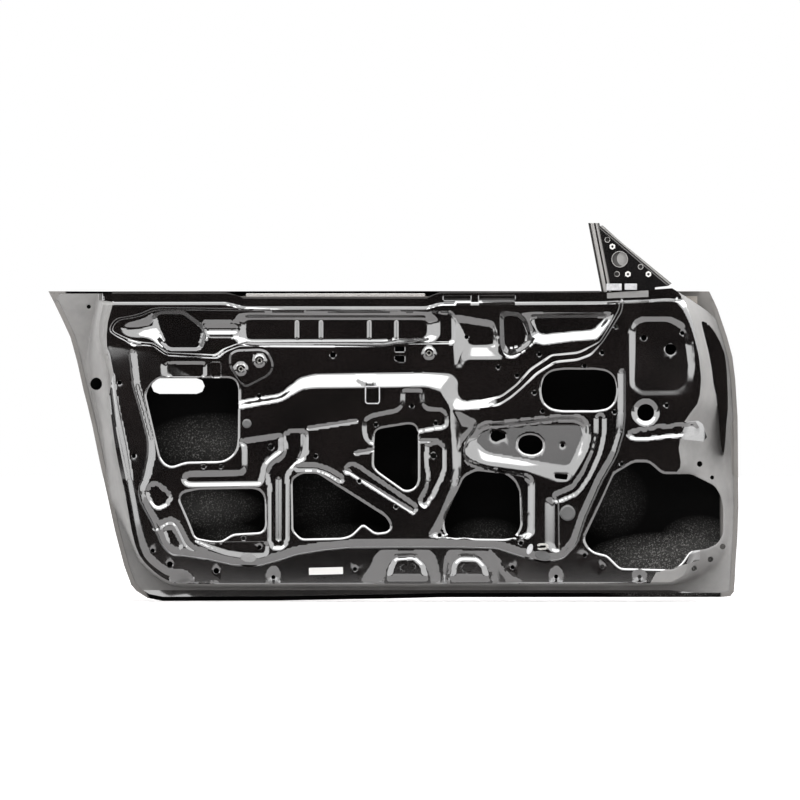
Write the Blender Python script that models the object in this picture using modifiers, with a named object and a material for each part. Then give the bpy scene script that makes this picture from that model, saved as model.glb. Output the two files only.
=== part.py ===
"""Shell of a left-hand front car door, without glass, trim or mechanisms, standing upright.

The cabin side faces -Y, the outer skin +Y, the rear (latch) edge is at -X and the
front (hinge) edge at +X. Metres, +Z up. Outlines are read off one straight-on view
in its pixels, and place() turns them into metres along the door and above its foot.
"""

import math

import bmesh
import bpy
import numpy as np
from mathutils import Matrix, Vector
from mathutils.geometry import delaunay_2d_cdt

# Overall sizes
DOOR_LENGTH = 1.388
BELT_HEIGHT = 0.626

# Pixel columns and rows of the view that bound the door
REAR_PIXEL = 48
FRONT_PIXEL = 742
FOOT_PIXEL = 603
BELT_PIXEL = 290
MIDDLE_SHARE = 0.5

# Sheets and clearances
SKIN_SHEET = 0.0009
PANEL_SHEET = 0.0012
RAIL_SHEET = 0.0014
SEAM_GAP = 0.0003
HEM_GAP = 0.0005
MASTIC_GAP = 0.0007
POINT_MERGE = 0.0002

# Outer skin: fullest at the crown, falling away to the ends, the belt and the foot
SKIN_APEX_Y = 0.064
SKIN_END_FALL = 0.016
SKIN_BELT_FALL = 0.018
SKIN_FOOT_FALL = 0.014
SKIN_TUCK_FALL = 0.014
CROWN_SHARE = 0.55
TUCK_SHARE = 0.34
HEM_WIDTH = 0.0085
BELT_FLANGE_DEPTH = 0.012
SKIN_COLUMN_PITCH = 0.090
SKIN_ROW_SHARES = (0.035, 0.07, 0.11, 0.16, 0.22, 0.29, 0.37, 0.45, 0.54, 0.63, 0.72, 0.81, 0.89, 0.96)
SKIN_EDGE_CLEAR = 0.010
LONGEST_EDGE = 0.058

# Depths of the inner panel's faces
LOWER_FIELD_Y = -0.052
UPPER_FIELD_Y = -0.040
BELT_BAND_Y = -0.030
REAR_POCKET_Y = -0.019
BASIN_Y = -0.034
CHANNEL_Y = -0.024
NECK_Y = -0.027
FRONT_POCKET_Y = -0.018
FRONT_SHELF_Y = -0.029
STEP_POCKET_Y = -0.032
BRACKET_PAD_Y = -0.050
HUMP_Y = -0.040
DRAIN_TAB_Y = -0.047
SEAL_LAND_Y = -0.034
HINGE_LAND_Y = 0.008

# Depths pressed into whatever face carries them
GROOVE_DEPTH = 0.007
GROOVE_RIM_HALF = 0.0080
GROOVE_FLOOR_HALF = 0.0032
SHALLOW_DEPTH = 0.0025
BEAD_DEPTH = 0.0045
PANEL_DEPTH = 0.005
PANEL_FOOT_DEPTH = 0.0008
PANEL_LEAN = (PANEL_FOOT_DEPTH, PANEL_DEPTH, 396, 345)
STRAP_DEPTH = 0.0030
ARC_HALF = 0.0085
SIDE_STRAP_HALF = 0.0110
ARMREST_FOOT_DEPTH = 0.0050
ARMREST_TOP_DEPTH = 0.0140
ARMREST_LEAN = (ARMREST_FOOT_DEPTH, ARMREST_TOP_DEPTH, 468, 436)
BOSS_HEIGHT = 0.0025
STEEP_FLANK = 0.0045
BEAD_FLANK = 0.0060

# Holes
SMALL_HOLE_RADIUS = 0.0042
CLIP_HOLE_RADIUS = 0.0058
HARNESS_HOLE_RADIUS = 0.0170
LATCH_HOLE_RADIUS = 0.0125
SMALL_HOLE_SIDES = 6
HOLE_SIDES = 8
ROUND_SIDES = 16

# Edges of the skin, clockwise from its upper rear tip
SKIN_BELT_PIXELS = (
    (47.6, 291), (56, 291), (104, 291.2), (112, 291.2), (400, 290.8), (650, 291), (700, 291), (710, 291.2),
)
SKIN_FRONT_PIXELS = (
    (714.3, 300), (718.4, 309), (728, 337), (733.4, 357), (736.2, 379), (738.6, 417), (739, 450),
    (739.2, 483),
    (739.4, 508), (738.2, 539.5), (736.6, 560), (735.6, 580), (734.6, 592), (731, 596.6),
)
SKIN_FOOT_PIXELS = ((722, 597.4), (600, 597.6), (440, 597.8), (400, 598.8), (280, 601), (162, 601.4))
SKIN_REAR_PIXELS = (
    (147, 598.4), (136, 591.5), (130.6, 585.5), (123.4, 566), (114.4, 532), (107.4, 500), (98.3, 459.6),
    (91.2, 425), (86.2, 404), (82.9, 391.6), (76.4, 362), (69.6, 337), (61.4, 319), (53.2, 302),
)

# Edge of the inner panel where it leaves the hem: along the belt, and at the notch in its front edge
PANEL_BELT_PIXELS = (
    (59, 293.4), (97, 293.4), (110, 293.6), (226, 293.8), (237, 295.4), (244, 298.6), (427, 298.6),
    (433, 295.6),
    (440, 293.4), (600, 292.4), (625, 290.8), (655, 289.4), (672, 288.2), (690, 299), (707.5, 310.5),
    (717.5, 319.5),
    (722.6, 331),
)
PANEL_NOTCH_PIXELS = ((737.6, 417), (732.2, 425), (731.6, 446), (732.4, 472), (738.2, 483))

# Foot of the panel's side walls, and the line where they roll into the web
WALL_FOOT_PIXELS = (
    (97, 270), (97, 294), (91, 322), (88.7, 334), (85.6, 358), (86.8, 376), (90.4, 393), (94.6, 412),
    (98.4, 428),
    (105, 460), (113, 500), (120, 522), (128.5, 543), (140, 562), (156.5, 579.5), (174, 588), (190, 590),
    (280, 590),
    (440, 588.6), (600, 587.4), (671, 585.6), (702, 580), (720, 568), (730, 553), (732.8, 539.5),
    (733.8, 508),
    (732.4, 486), (727.4, 472), (726.6, 446), (727.2, 425), (730.4, 410), (731, 396), (730, 379),
    (727, 357),
    (722, 338), (718, 322), (711, 306), (700, 292), (690, 270),
)
WEB_EDGE_PIXELS = (
    (116, 274), (114, 302), (107.6, 324), (107.4, 338), (113, 366), (120.4, 420), (132.5, 490),
    (145.9, 550),
    (152, 567), (162, 578), (176, 582), (350, 582), (520, 582), (671, 582), (684, 575), (690, 551),
    (686, 500),
    (675, 473), (680.7, 466), (678.4, 448), (679.4, 437), (686, 419.5), (693, 409.6), (699, 400),
    (700.8, 379),
    (698.6, 357), (694, 334.6), (688.8, 320), (682.5, 308), (675, 301), (668, 290), (664, 274),
)

# The upper field lies deeper than the lower one; the slope between them is the shoulder
UPPER_FIELD_RIM_PIXELS = (
    (60, 450), (150, 446), (238, 409), (281, 401), (302, 389), (316, 388), (400, 387.4), (426, 386.6),
    (440, 391),
    (447, 402), (452, 411), (499, 406), (511.6, 398), (525, 386.4), (538, 374), (556, 363), (577, 361),
    (591, 356),
    (603, 342), (622, 312), (628, 262), (60, 262),
)
UPPER_FIELD_FLOOR_PIXELS = (
    (66, 372), (150, 384), (238, 401), (280, 394.5), (300, 378), (316, 374), (420, 372.6), (452, 373.6),
    (458, 380),
    (457, 394), (463, 402), (480, 400), (501, 395.4), (516, 384), (529.5, 368.6), (551, 354.3),
    (578, 351.6),
    (586, 348), (600, 341), (618.5, 309), (622, 268), (66, 268),
)
BELT_BAND_RIM_PIXELS = (
    (60, 305), (226, 305), (243, 309.6), (427, 309.6), (440, 305.6), (600, 304.6), (640, 303), (668, 301.4),
    (684, 303), (700, 303), (700, 264), (60, 264),
)
BELT_BAND_FLOOR_PIXELS = (
    (64, 302), (226.6, 302), (243.8, 306.4), (426.4, 306.4), (439.4, 302.4), (600, 301.4), (640, 299.8),
    (668, 298.2),
    (684, 299.6), (696, 299.6), (696, 266), (64, 266),
)

# Pockets and pads whose floor line isn't even with its rim
REAR_POCKET_RIM_PIXELS = (
    (119, 327), (124, 322.4), (132, 320.6), (143, 318.6), (156, 312.6), (162, 310.8), (184, 310.8),
    (190, 314.6), (204, 325.4), (210, 333), (201, 351), (168, 351), (150, 338), (128, 337), (121, 333),
)
REAR_POCKET_FLOOR_PIXELS = (
    (155.6, 317), (160, 314.2), (183, 314.2), (198, 325.6), (202.6, 331), (198.6, 347.4), (169.4, 347.4),
    (165.4, 343.4),
)
CHANNEL_RIM_PIXELS = (
    (232, 320), (238, 313), (432, 313), (440, 319), (440, 337), (434, 341.6), (397, 342.6), (385, 345.4),
    (242, 345.6),
    (232, 338),
)
CHANNEL_FLOOR_PIXELS = (
    (246, 321), (249, 319), (424, 319.4), (427, 322), (427, 336), (425, 338), (396, 338.6), (384, 340.4),
    (249, 340.6),
    (246, 338),
)
STEP_POCKET_RIM_PIXELS = (
    (453.6, 314), (494, 321.4), (497, 330), (499, 345), (505.6, 359.6), (467, 359.6), (463, 369), (453, 369),
)
STEP_POCKET_FLOOR_PIXELS = ((457, 322), (492.6, 327), (495, 344.6), (470, 345), (466, 336), (462, 329))
FRONT_POCKET_RIM_PIXELS = (
    (499.5, 314), (503, 310.6), (520, 312.6), (530, 320), (537.6, 331), (538, 338), (531, 346), (520, 354.6),
    (511, 359), (504, 355), (500, 345),
)
FRONT_POCKET_FLOOR_PIXELS = (
    (503.6, 318), (507, 315.6), (518.6, 316.4), (523, 323), (526.6, 334), (526.6, 340.4), (519, 346.4),
    (509, 348), (504.6, 345),
)
FRONT_SHELF_RIM_PIXELS = (
    (520, 312.6), (526, 312.6), (614, 312.2), (611, 320), (598, 339), (570, 341), (542, 345), (531, 340.5),
)
FRONT_SHELF_FLOOR_PIXELS = ((531.6, 318.2), (606, 317.4), (593, 330.4), (582, 331), (543, 334.6), (539, 333))
ARMREST_RIM_PIXELS = (
    (463, 451), (467, 436), (474, 427), (485, 421.6), (507, 420.6), (558, 415), (579, 414.5),
    (588.6, 421), (590.5, 437),
    (588, 450), (573, 479), (567, 482.4), (556, 483), (525, 471), (489, 466), (470, 460.6),
)
ARMREST_FLOOR_PIXELS = (
    (475, 442), (481, 431.6), (489, 428), (510, 427), (558, 421.6), (575, 421.4), (581.6, 426),
    (583, 437), (573, 460),
    (568, 466.6), (540, 462.6), (486, 453),
)
WINDER_PANEL_RIM_PIXELS = (
    (629, 388), (629, 328), (633, 320), (641, 316.5), (671, 316.5), (686, 323), (693, 340), (696, 366),
    (694, 390),
    (684, 398), (640, 398),
)
WINDER_PANEL_FLOOR_PIXELS = (
    (634.5, 384), (634.5, 330), (638, 324.4), (644, 321.8), (668, 321.8), (678, 328), (685, 343),
    (687, 366),
    (684, 384), (676, 390), (641, 390.6),
)
HUMP_REAR_RIM_PIXELS = (
    (362, 596), (362.6, 578), (371, 567.6), (375, 556), (382, 550.6), (428, 550.4), (435, 556),
    (438, 568), (440, 580),
    (440, 596),
)
HUMP_REAR_FLOOR_PIXELS = (
    (384, 592), (384, 578), (386.6, 566), (394, 557), (416, 556.6), (426, 563.6), (431, 575), (431, 592),
)
HUMP_FRONT_RIM_PIXELS = (
    (443.4, 596), (443.4, 574), (445, 557), (450, 550.6), (488, 550.6), (498, 556), (502.5, 569),
    (511.4, 577.6),
    (522, 581), (522, 596),
)
HUMP_FRONT_FLOOR_PIXELS = (
    (449.6, 592), (449.6, 574), (452.6, 561), (460, 556.6), (479, 557), (488, 566), (493, 577), (493, 592),
)
SEAL_LAND_RIM_PIXELS = (
    (112, 352), (113.6, 366), (121, 420), (133.1, 490), (146.5, 550), (152, 565), (140, 575), (60, 520),
    (60, 352),
)
SEAL_LAND_FLOOR_PIXELS = (
    (108, 356), (109.6, 366), (117.4, 420), (129.6, 490), (142.6, 549), (146, 560), (138, 568), (66, 516),
    (66, 356),
)
HINGE_LAND_RIM_PIXELS = (
    (698.6, 316), (706, 320), (715, 326), (722, 338), (728.6, 354), (730, 384), (728.4, 430), (725, 459),
    (720, 440),
    (715.6, 410), (710.6, 384), (708, 365), (703.6, 346),
)

# Pads and pockets with an even flank
BRACKET_PAD_PIXELS = (
    (229, 354), (236, 349.4), (261, 348.6), (268, 351), (273.4, 361), (273.8, 369), (269, 376),
    (246, 388), (241, 384),
    (234, 374.5), (229, 366),
)
LOCK_BEAD_PIXELS = (
    (626, 435), (630, 430), (656, 425.4), (677, 423.6), (696, 423), (700, 428.4), (697, 434.6),
    (680.7, 436.8),
    (660, 438.4), (651, 440), (631, 440),
)
POST_BEAD_PIXELS = (
    (424.6, 443), (440, 440), (445.4, 446), (445.4, 471), (441.6, 482), (433, 498), (425, 510), (417, 502.6),
    (424.4, 489), (426.4, 479),
)
REAR_STRAP_PIXELS = (
    (181, 479), (184, 473.6), (190, 471.6), (241, 470.6), (242.6, 468), (242.6, 447), (237.6, 439.6),
    (283, 433), (283.6, 452), (272, 460.4), (266.4, 466.4), (265, 476), (262, 486), (190, 487), (184, 485),
)
LOOP_STRAP_PIXELS = (
    (282.6, 434), (288, 430), (306, 429.6), (308.8, 434), (308.6, 452), (304, 461), (297, 464), (290, 472),
    (288.8, 481), (288.6, 541), (284, 549.4), (272, 549.4), (268.4, 543), (268.4, 487), (265.6, 477),
    (267, 467.6), (272.6, 461.4), (283, 454.4), (284.6, 449),
)
CATCH_STRAP_PIXELS = (
    (401.6, 389), (401, 405), (396.6, 409), (370, 414.6), (363.6, 419), (362.6, 428), (364, 438), (370, 445),
    (380, 446), (380, 436), (419, 436), (419, 432.6), (445, 428.6), (448.8, 424), (448, 413.6), (442.6, 408),
    (428, 407.6), (424, 404), (423, 389),
)
FIELD_STEP_RIM_PIXELS = (
    (450, 440), (452.6, 452), (453, 470), (450, 490), (438, 519), (427.6, 537), (440, 538),
    (527, 538.6), (533, 534), (534, 480), (524, 476), (489, 471.4), (464, 465), (457.6, 452),
)
FIELD_STEP_FLOOR_PIXELS = (
    (461, 470), (460, 478), (456.4, 491), (445, 519), (437, 534.6), (524, 535), (528, 531.6), (528.6, 485),
    (523, 480.6), (488, 475.6), (465, 470),
)
BASIN_RIM_PIXELS = (
    (108.6, 331), (111, 323), (117.6, 317.4), (129, 316), (142, 312.6), (151, 308.4), (160, 307),
    (450, 311), (455.6, 314), (455.6, 344), (396, 344.4), (384.5, 347), (262, 346.6), (240, 346.6),
    (226, 352), (219, 358.8), (207, 358.4), (165, 356), (152, 346.4), (141, 345.6), (133, 347),
    (126, 341.6), (116, 336.6),
)
BASIN_FLOOR_PIXELS = (
    (112.6, 330.6), (114.6, 325), (119.6, 320.4), (130, 319), (143.6, 315.6), (152, 311.4), (161, 310.2),
    (449, 313.6), (452.6, 316), (452.6, 341.4), (396, 341.6), (384, 344), (262, 343), (238, 343),
    (222, 349), (216, 354.4), (207, 354), (168, 352.6), (155, 343), (140, 341.6), (128, 338.4),
    (118, 333.8),
)
LEDGE_PAD_PIXELS = ((355, 375), (377, 375), (377, 385.6), (364, 385.6), (355, 380.6))
KIDNEY_PIXELS = (
    (145.4, 492), (147.4, 485.6), (153.6, 481.4), (160, 484), (169.6, 490.6), (172.8, 498), (169, 505.4),
    (160, 509.6), (153.6, 508), (148, 500),
)
SLOT_LAND_PIXELS = (
    (163, 530), (166.6, 526), (173.6, 525.6), (178.8, 534), (183.4, 543.6), (181.4, 550.6), (174, 552.4),
    (169, 547),
)
SIDE_STRAP_PIXELS = ((600, 417), (600, 433), (596, 452), (586, 474), (575, 490), (556, 498))
ARC_BEAD_PIXELS = ((297, 467.4), (316, 467.4), (329, 472), (341, 479.4))
ACCESS_LAND_RIM_PIXELS = (
    (190, 538), (208, 549), (226, 555.6), (246, 559), (268, 558.6), (268.6, 541), (232, 541), (212, 542),
)
ACCESS_LAND_FLOOR_PIXELS = (
    (194, 539), (212, 545), (228, 550), (247, 552.4), (266, 552.6), (266.6, 542), (232, 542), (212, 543),
)
LOCK_LAND_RIM_PIXELS = ((160, 361.6), (206.4, 361.6), (206.4, 378), (160.6, 378))
LOCK_LAND_FLOOR_PIXELS = ((167, 363.6), (204.8, 363.6), (204.8, 376.4), (168.6, 376.4))
POST_LAND_RIM_PIXELS = ((544.6, 497.6), (559, 497.6), (560, 553), (551, 552), (544.6, 547))
POST_LAND_FLOOR_PIXELS = ((554.6, 499.4), (557.6, 499.4), (558.4, 550), (554.6, 548.6))
SLOPE_BEAD_PIXELS = (
    (343.4, 471), (345, 465.6), (350, 462.6), (356, 463), (416.6, 504.6), (418, 509.6), (415, 513.4),
    (410, 512),
    (349, 472.6), (345.6, 474.6),
)

# The carrier groove, one channel from the upper rear round below the openings to the upper front
CARRIER_GROOVE_PIXELS = (
    (132, 352), (136, 387), (143, 410), (150.6, 440), (150.6, 456), (146, 477), (141, 488.6), (143, 500),
    (157, 526),
    (164, 543), (172, 551.4), (207, 556), (233, 562), (258, 563), (280, 557), (296, 551.6), (324, 547),
    (350, 544.6),
    (400, 544.2), (460, 544.2), (497, 545.4), (519, 552.6), (544, 559), (562, 556), (574, 543),
    (582.5, 517),
    (598.6, 481), (613.8, 454.6), (620.6, 432), (622, 410), (622, 372),
)

# Openings cut through the web
CUTOUT_PIXELS = {
    "latch_access": (
        (146, 395), (150, 385.6), (158.8, 378), (230.5, 378), (236, 381), (238.6, 388), (238, 438.6),
        (236.8, 448.4),
        (231.4, 456.4), (222.5, 461), (186, 461.8), (171.8, 466.6), (165, 463.5), (160.4, 457),
        (155.7, 436.8),
    ),
    "regulator_access_rear": (
        (179.6, 499), (183, 493), (199, 489.5), (254.6, 488.6), (261.8, 492), (265, 499), (265.4, 526),
        (262, 532),
        (233, 533.7), (221.6, 541), (212.7, 541), (195.7, 537.7), (189.5, 521.6),
    ),
    "regulator_access_middle": (
        (292.5, 479.6), (302, 473.4), (317.5, 473.4), (354, 496.6), (386, 517), (391, 526), (388, 531.4),
        (375.5, 533),
        (363, 523.4), (351.4, 535), (342.5, 537.7), (301.4, 538.6), (293.4, 530.5),
    ),
    "pull_access": (
        (374.6, 433), (379, 428.8), (410.4, 423.8), (416.6, 427), (418, 437), (418, 481.4), (414, 488.6),
        (405, 490.6),
        (377, 470.7), (373.8, 465.4),
    ),
    "regulator_access_front": (
        (446.4, 515), (453.6, 499), (464, 477), (476, 470.7), (505.4, 474), (515, 481.4), (519.6, 492),
        (520.5, 526),
        (516, 535), (507, 539), (473, 538.6), (464, 536), (455.4, 538.6), (446.4, 534), (443.8, 523.4),
    ),
    "speaker": (
        (584, 538.5), (588, 547), (594, 552), (607, 555), (620, 568), (673.5, 569.4), (681.6, 563),
        (689.8, 551),
        (707, 549), (718, 544), (723.6, 535), (724, 508), (721, 495), (715.5, 486), (691.4, 474),
        (662, 474),
        (648.6, 462.3), (633.4, 462.3), (613.8, 474), (600.4, 503.8),
    ),
    "winder": (
        (541.2, 386), (544, 377), (551, 371.4), (562, 369.6), (596, 369.6), (607, 371.4), (613.6, 377),
        (616.2, 386),
        (616.2, 394), (613.6, 403), (607, 408.6), (596, 410.4), (562, 410.4), (551, 408.6), (544, 403),
        (541.2, 394),
    ),
    "armrest_window": (
        (517.6, 443), (521, 436.6), (530, 434.4), (538.6, 436.4), (543.4, 443), (542, 450.6),
        (534, 454.8), (524, 453.4),
        (518.6, 449),
    ),
    "armrest_key": (
        (490, 436), (491.8, 431.8), (496, 430), (500.2, 431.8), (505.6, 434.4), (505.6, 438),
        (500.2, 440.2), (496, 442),
        (491.8, 440.2),
    ),
    "belt_slot_rear": ((443.6, 295.4), (470.6, 295.2), (470.6, 300.2), (443.6, 300.4)),
    "belt_slot_front": ((479, 295), (515, 294.6), (515, 299.8), (479, 300)),
    "key_slot_upper": ((394.8, 346.4), (404.6, 346.4), (404.6, 351.6), (394.8, 351.6)),
    "key_slot_lower": ((394.8, 355.6), (404.6, 355.6), (404.6, 362), (399, 362), (394.8, 359.6)),
    "armrest_slot": ((554, 474.4), (568, 474.8), (566.6, 479.8), (555, 478.4)),
}
HANDLE_OPENING_PIXELS = (
    (150.6, 386), (153, 380.4), (158.6, 378.2), (196, 378.2), (201.6, 380.4), (204, 386), (201.6, 391.6),
    (196, 393.8),
    (158.6, 393.8), (153, 391.6),
)
SMALL_HOLE_PIXELS = (
    (119.8, 382.7), (134, 456), (153, 550.4), (243.7, 538), (259.6, 547), (203.8, 466.4), (221, 466.4),
    (259.3, 396),
    (412, 406), (376, 424.6), (315.7, 456), (359.5, 481), (396, 506.6), (435.7, 423), (439.6, 535),
    (520.8, 543),
    (466.5, 337), (498.2, 367), (517, 375.3), (534.2, 392.6), (542.5, 411), (539.2, 354.3), (584.5, 366),
    (602, 352.6),
    (615.9, 326.7), (614.4, 412), (621.6, 464), (584.5, 555), (602, 566.3), (512.4, 567), (355, 569),
    (682, 333),
    (666.4, 405.4), (712.8, 477.6), (273.5, 577), (556, 576.4), (639.3, 576.6), (562.4, 445.3), (88, 306.5),
)
CLIP_HOLE_PIXELS = (
    (170, 564), (216.5, 570.6), (271, 447), (332.9, 355), (433.4, 455.7), (643.7, 338), (694.4, 568.6),
    (711, 559.6),
    (723.4, 547), (700, 464),
)
DRAIN_TAB_PIXELS = (273.5, 556, 639.3)
DRAIN_TAB_RIM_SHARES = ((-1, 596), (-1, 574), (-0.5, 567.4), (0.5, 567.4), (1, 574), (1, 596))
DRAIN_TAB_HALF_PIXELS = 6.5
REGULATOR_HOLE_PIXEL = (670.3, 349.4)
HARNESS_HOLE_PIXEL = (645.5, 412.5)
LATCH_HOLE_PIXEL = (95.6, 383.8)
REGULATOR_HOLE_RADIUS = 0.0110

# Threaded bosses with a captive nut behind the panel
BOSS_PIXELS = {"pad_rear": (241, 369), "pad_front": (259.6, 360.6), "pull": (429, 353)}
BOSS_FOOT_RADIUS = 0.0130
BOSS_TOP_RADIUS = 0.0090
BOSS_HOLE_RADIUS = 0.0052
BOSS_SIDES = 12
NUT_BORE_RADIUS = 0.0034
NUT_HEIGHT = 0.0060
NUT_SIDES = 6
NUT_FIT_SHARE = 0.82

# Blanking plugs
PLUG_PIXELS = {"rear": (247, 423.5), "front": (567.5, 513)}
PLUG_HOLE_RADII = {"rear": 0.0066, "front": 0.0130}
PLUG_LIP = 0.0026
PLUG_HEAD = 0.0016
PLUG_CROWN = 0.0009
PLUG_STEM = 0.0060
PLUG_CLEARANCE = 0.0004

# Belt reinforcements and sweep
RAIL_INNER_PIXELS = (112, 226, 243, 427, 440, 520, 600)
RAIL_INNER_TOP_PIXELS = (292.2, 292.2, 297, 297, 292, 291.4, 290.8)
RAIL_INNER_HEIGHT = 0.040
RAIL_INNER_DEPTH = 0.010
RAIL_LIP = 0.008
RAIL_OUTER_PIXELS = (116, 170, 226, 290, 350, 410, 470, 530, 590, 650, 698)
RAIL_OUTER_HEIGHT = 0.052
RAIL_OUTER_DEPTH = 0.011
RAIL_OUTER_FLANGE = 0.012
SWEEP_PIXELS = (246, 425)
SWEEP_TOP_PIXEL = 293.4
SWEEP_THICKNESS = 0.0060
SWEEP_RADIUS = 0.0018

# Mirror mounting plate and the glass channel beside it
MIRROR_PLATE_Y = BELT_BAND_Y + PANEL_SHEET + SEAM_GAP
MIRROR_PLATE_PIXELS = (
    (599, 226), (602.6, 225.4), (622, 242.6), (671.6, 283.4), (668, 286), (655, 287.4), (655, 304),
    (614.4, 306),
    (611, 288), (602.1, 242),
)
MIRROR_FLANGE_PIXELS = ((602.6, 225.4), (622, 242.6), (671.6, 283.4))
MIRROR_FLANGE_DEPTH = 0.012
MIRROR_HOLE_PIXEL = (619.8, 259.2)
MIRROR_HOLE_RADIUS = 0.0150
MIRROR_NUT_PIXELS = {"upper": (612.4, 246.6), "lower_rear": (627.9, 274.2), "lower_front": (648.4, 274.2)}
MIRROR_RING_PIXELS = ((607.6, 239.4), (616.4, 274), (640.6, 266.8))
MIRROR_RING_RADIUS = 0.0044
MIRROR_NUT_RADIUS = 0.0062
MIRROR_NUT_BORE = 0.0028
MIRROR_NUT_HEIGHT = 0.0050
FRAME_CHANNEL_TOP_PIXEL = (588.4, 223)
FRAME_CHANNEL_FOOT_PIXEL = (630.6, 440)
FRAME_CHANNEL_WIDTH = 0.022
FRAME_CHANNEL_DEPTH = 0.024
FRAME_CHANNEL_Y = MIRROR_PLATE_Y + RAIL_SHEET + SEAM_GAP
MIRROR_FOOT_PIXELS = {"rear": (606.4, 621.6, 283.6, 290.4), "front": (624.6, 637, 283.6, 289.8)}
MIRROR_FOOT_DEPTH = 0.006

# Trim clip on the shoulder
TRIM_CLIP_PIXELS = ((365, 402), (367, 404), (378, 404), (380, 402), (380, 386), (365, 386))
TRIM_CLIP_WALL = 0.0022
TRIM_CLIP_DEPTH = 0.0080

# Pads over the carrier groove, and the clip and lug beside the front one
GROOVE_PAD_PIXELS = {"rear": (248.6, 557.4), "front": (542.4, 555.2)}
GROOVE_PAD_TURNS = {"rear": -5, "front": -12}
GROOVE_PAD_HALF_LENGTH = 0.0160
GROOVE_PAD_HALF_HEIGHT = 0.0095
GROOVE_PAD_THICKNESS = 0.0040
GROOVE_PAD_BEVEL = 0.0014
HARNESS_CLIP_PIXELS = (
    (537.4, 546), (537, 544.4), (539, 543.2), (546, 543), (548.2, 545), (548.2, 547.4), (546, 549.4),
    (540, 549.8),
    (537.4, 549), (537.8, 547.8), (540, 548), (545, 547.6), (546, 546.4), (545, 545), (540.4, 545.2),
    (538.6, 546.2),
)
HARNESS_CLIP_DEPTH = 0.0070
HARNESS_LUG_PIXEL = (529.6, 549)
HARNESS_LUG_TURN = 68
HARNESS_LUG_HALF_LENGTH = 0.0110
HARNESS_LUG_HALF_HEIGHT = 0.0056
HARNESS_LUG_THICKNESS = 0.0036

# Colours, as linear red, green and blue
BLACK_PAINT = (0.012, 0.011, 0.011)
PRIMER_TAN = (0.42, 0.38, 0.34)
ZINC = (0.62, 0.61, 0.58)
RUBBER = (0.03, 0.03, 0.03)
NYLON = (0.55, 0.55, 0.56)
PILE = (0.40, 0.39, 0.38)


def place(pixels):
    """Places in metres (along the door, above its foot) of points read in the view's pixels."""
    pixels = np.asarray(pixels, float).reshape(-1, 2)
    along = (pixels[:, 0] - REAR_PIXEL) / (FRONT_PIXEL - REAR_PIXEL)
    above = (FOOT_PIXEL - pixels[:, 1]) / (FOOT_PIXEL - BELT_PIXEL)
    return np.stack([(along - MIDDLE_SHARE) * DOOR_LENGTH, above * BELT_HEIGHT], axis=1)


def spot(pixel):
    """Place in metres of one point read in the view's pixels."""
    return place([pixel])[0]


def skin_y(points):
    """Depth of the skin's outer face at places given as (along, above)."""
    points = np.asarray(points, float).reshape(-1, 2)
    along = 2 * points[:, 0] / DOOR_LENGTH
    above = points[:, 1] / BELT_HEIGHT
    belt = np.clip((above - CROWN_SHARE) / (1 - CROWN_SHARE), 0, None)
    foot = np.clip((CROWN_SHARE - above) / CROWN_SHARE, 0, None)
    tuck = np.clip((TUCK_SHARE - above) / TUCK_SHARE, 0, None)
    fall = SKIN_END_FALL * along**2 + SKIN_BELT_FALL * belt**2
    fall += SKIN_FOOT_FALL * foot**2 + SKIN_TUCK_FALL * tuck**2
    return SKIN_APEX_Y - fall


def divided(line, longest, closed=False):
    """The line with its longer edges split evenly."""
    ends = np.roll(line, -1, axis=0) if closed else line[1:]
    starts = line if closed else line[:-1]
    points = []
    for start, end in zip(starts, ends):
        pieces = max(1, math.ceil(np.linalg.norm(end - start) / longest))
        points += [start + (end - start) * i / pieces for i in range(pieces)]
    if not closed:
        points.append(line[-1])
    return np.array(points)


def area_of(outline):
    """Signed area of a closed outline, positive where it runs anticlockwise."""
    ends = np.roll(outline, -1, axis=0)
    return float(np.sum(outline[:, 0] * ends[:, 1] - ends[:, 0] * outline[:, 1])) / 2


def side_normals(line, closed):
    """Mitred normals to the left of a line's run, one for each point."""
    if closed:
        before = line - np.roll(line, 1, axis=0)
        after = np.roll(line, -1, axis=0) - line
    else:
        steps = np.diff(line, axis=0)
        before = np.concatenate([steps[:1], steps])
        after = np.concatenate([steps, steps[-1:]])
    normals = []
    for first, second in zip(before, after):
        first = np.array([-first[1], first[0]]) / np.linalg.norm(first)
        second = np.array([-second[1], second[0]]) / np.linalg.norm(second)
        normals.append((first + second) / max(1 + first @ second, 1 / 2))
    return np.array(normals)


def inset(outline, distance):
    """A closed outline moved inwards by a distance."""
    turn = 1 if area_of(outline) > 0 else -1
    return outline + side_normals(outline, True) * distance * turn


def band(path, half):
    """Closed outline round an open path, with rounded ends."""
    normals = side_normals(path, False)
    left = path + normals * half
    right = path - normals * half
    ahead = (path[-1] - path[-2]) / np.linalg.norm(path[-1] - path[-2]) * half
    behind = (path[0] - path[1]) / np.linalg.norm(path[0] - path[1]) * half
    return np.concatenate([left, [path[-1] + ahead], right[::-1], [path[0] + behind]])


def ring(centre, radius, sides):
    """Points of a circle."""
    angles = 2 * math.pi * (np.arange(sides) + 1 / 2) / sides
    return np.asarray(centre) + radius * np.stack([np.cos(angles), np.sin(angles)], axis=1)


def within(points, outline):
    """Which points lie inside a closed outline."""
    result = np.zeros(len(points), bool)
    for (x0, z0), (x1, z1) in zip(outline, np.roll(outline, -1, axis=0)):
        if z0 == z1:
            continue
        crosses = (z0 > points[:, 1]) != (z1 > points[:, 1])
        result ^= crosses & (points[:, 0] < x0 + (points[:, 1] - z0) * (x1 - x0) / (z1 - z0))
    return result


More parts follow.
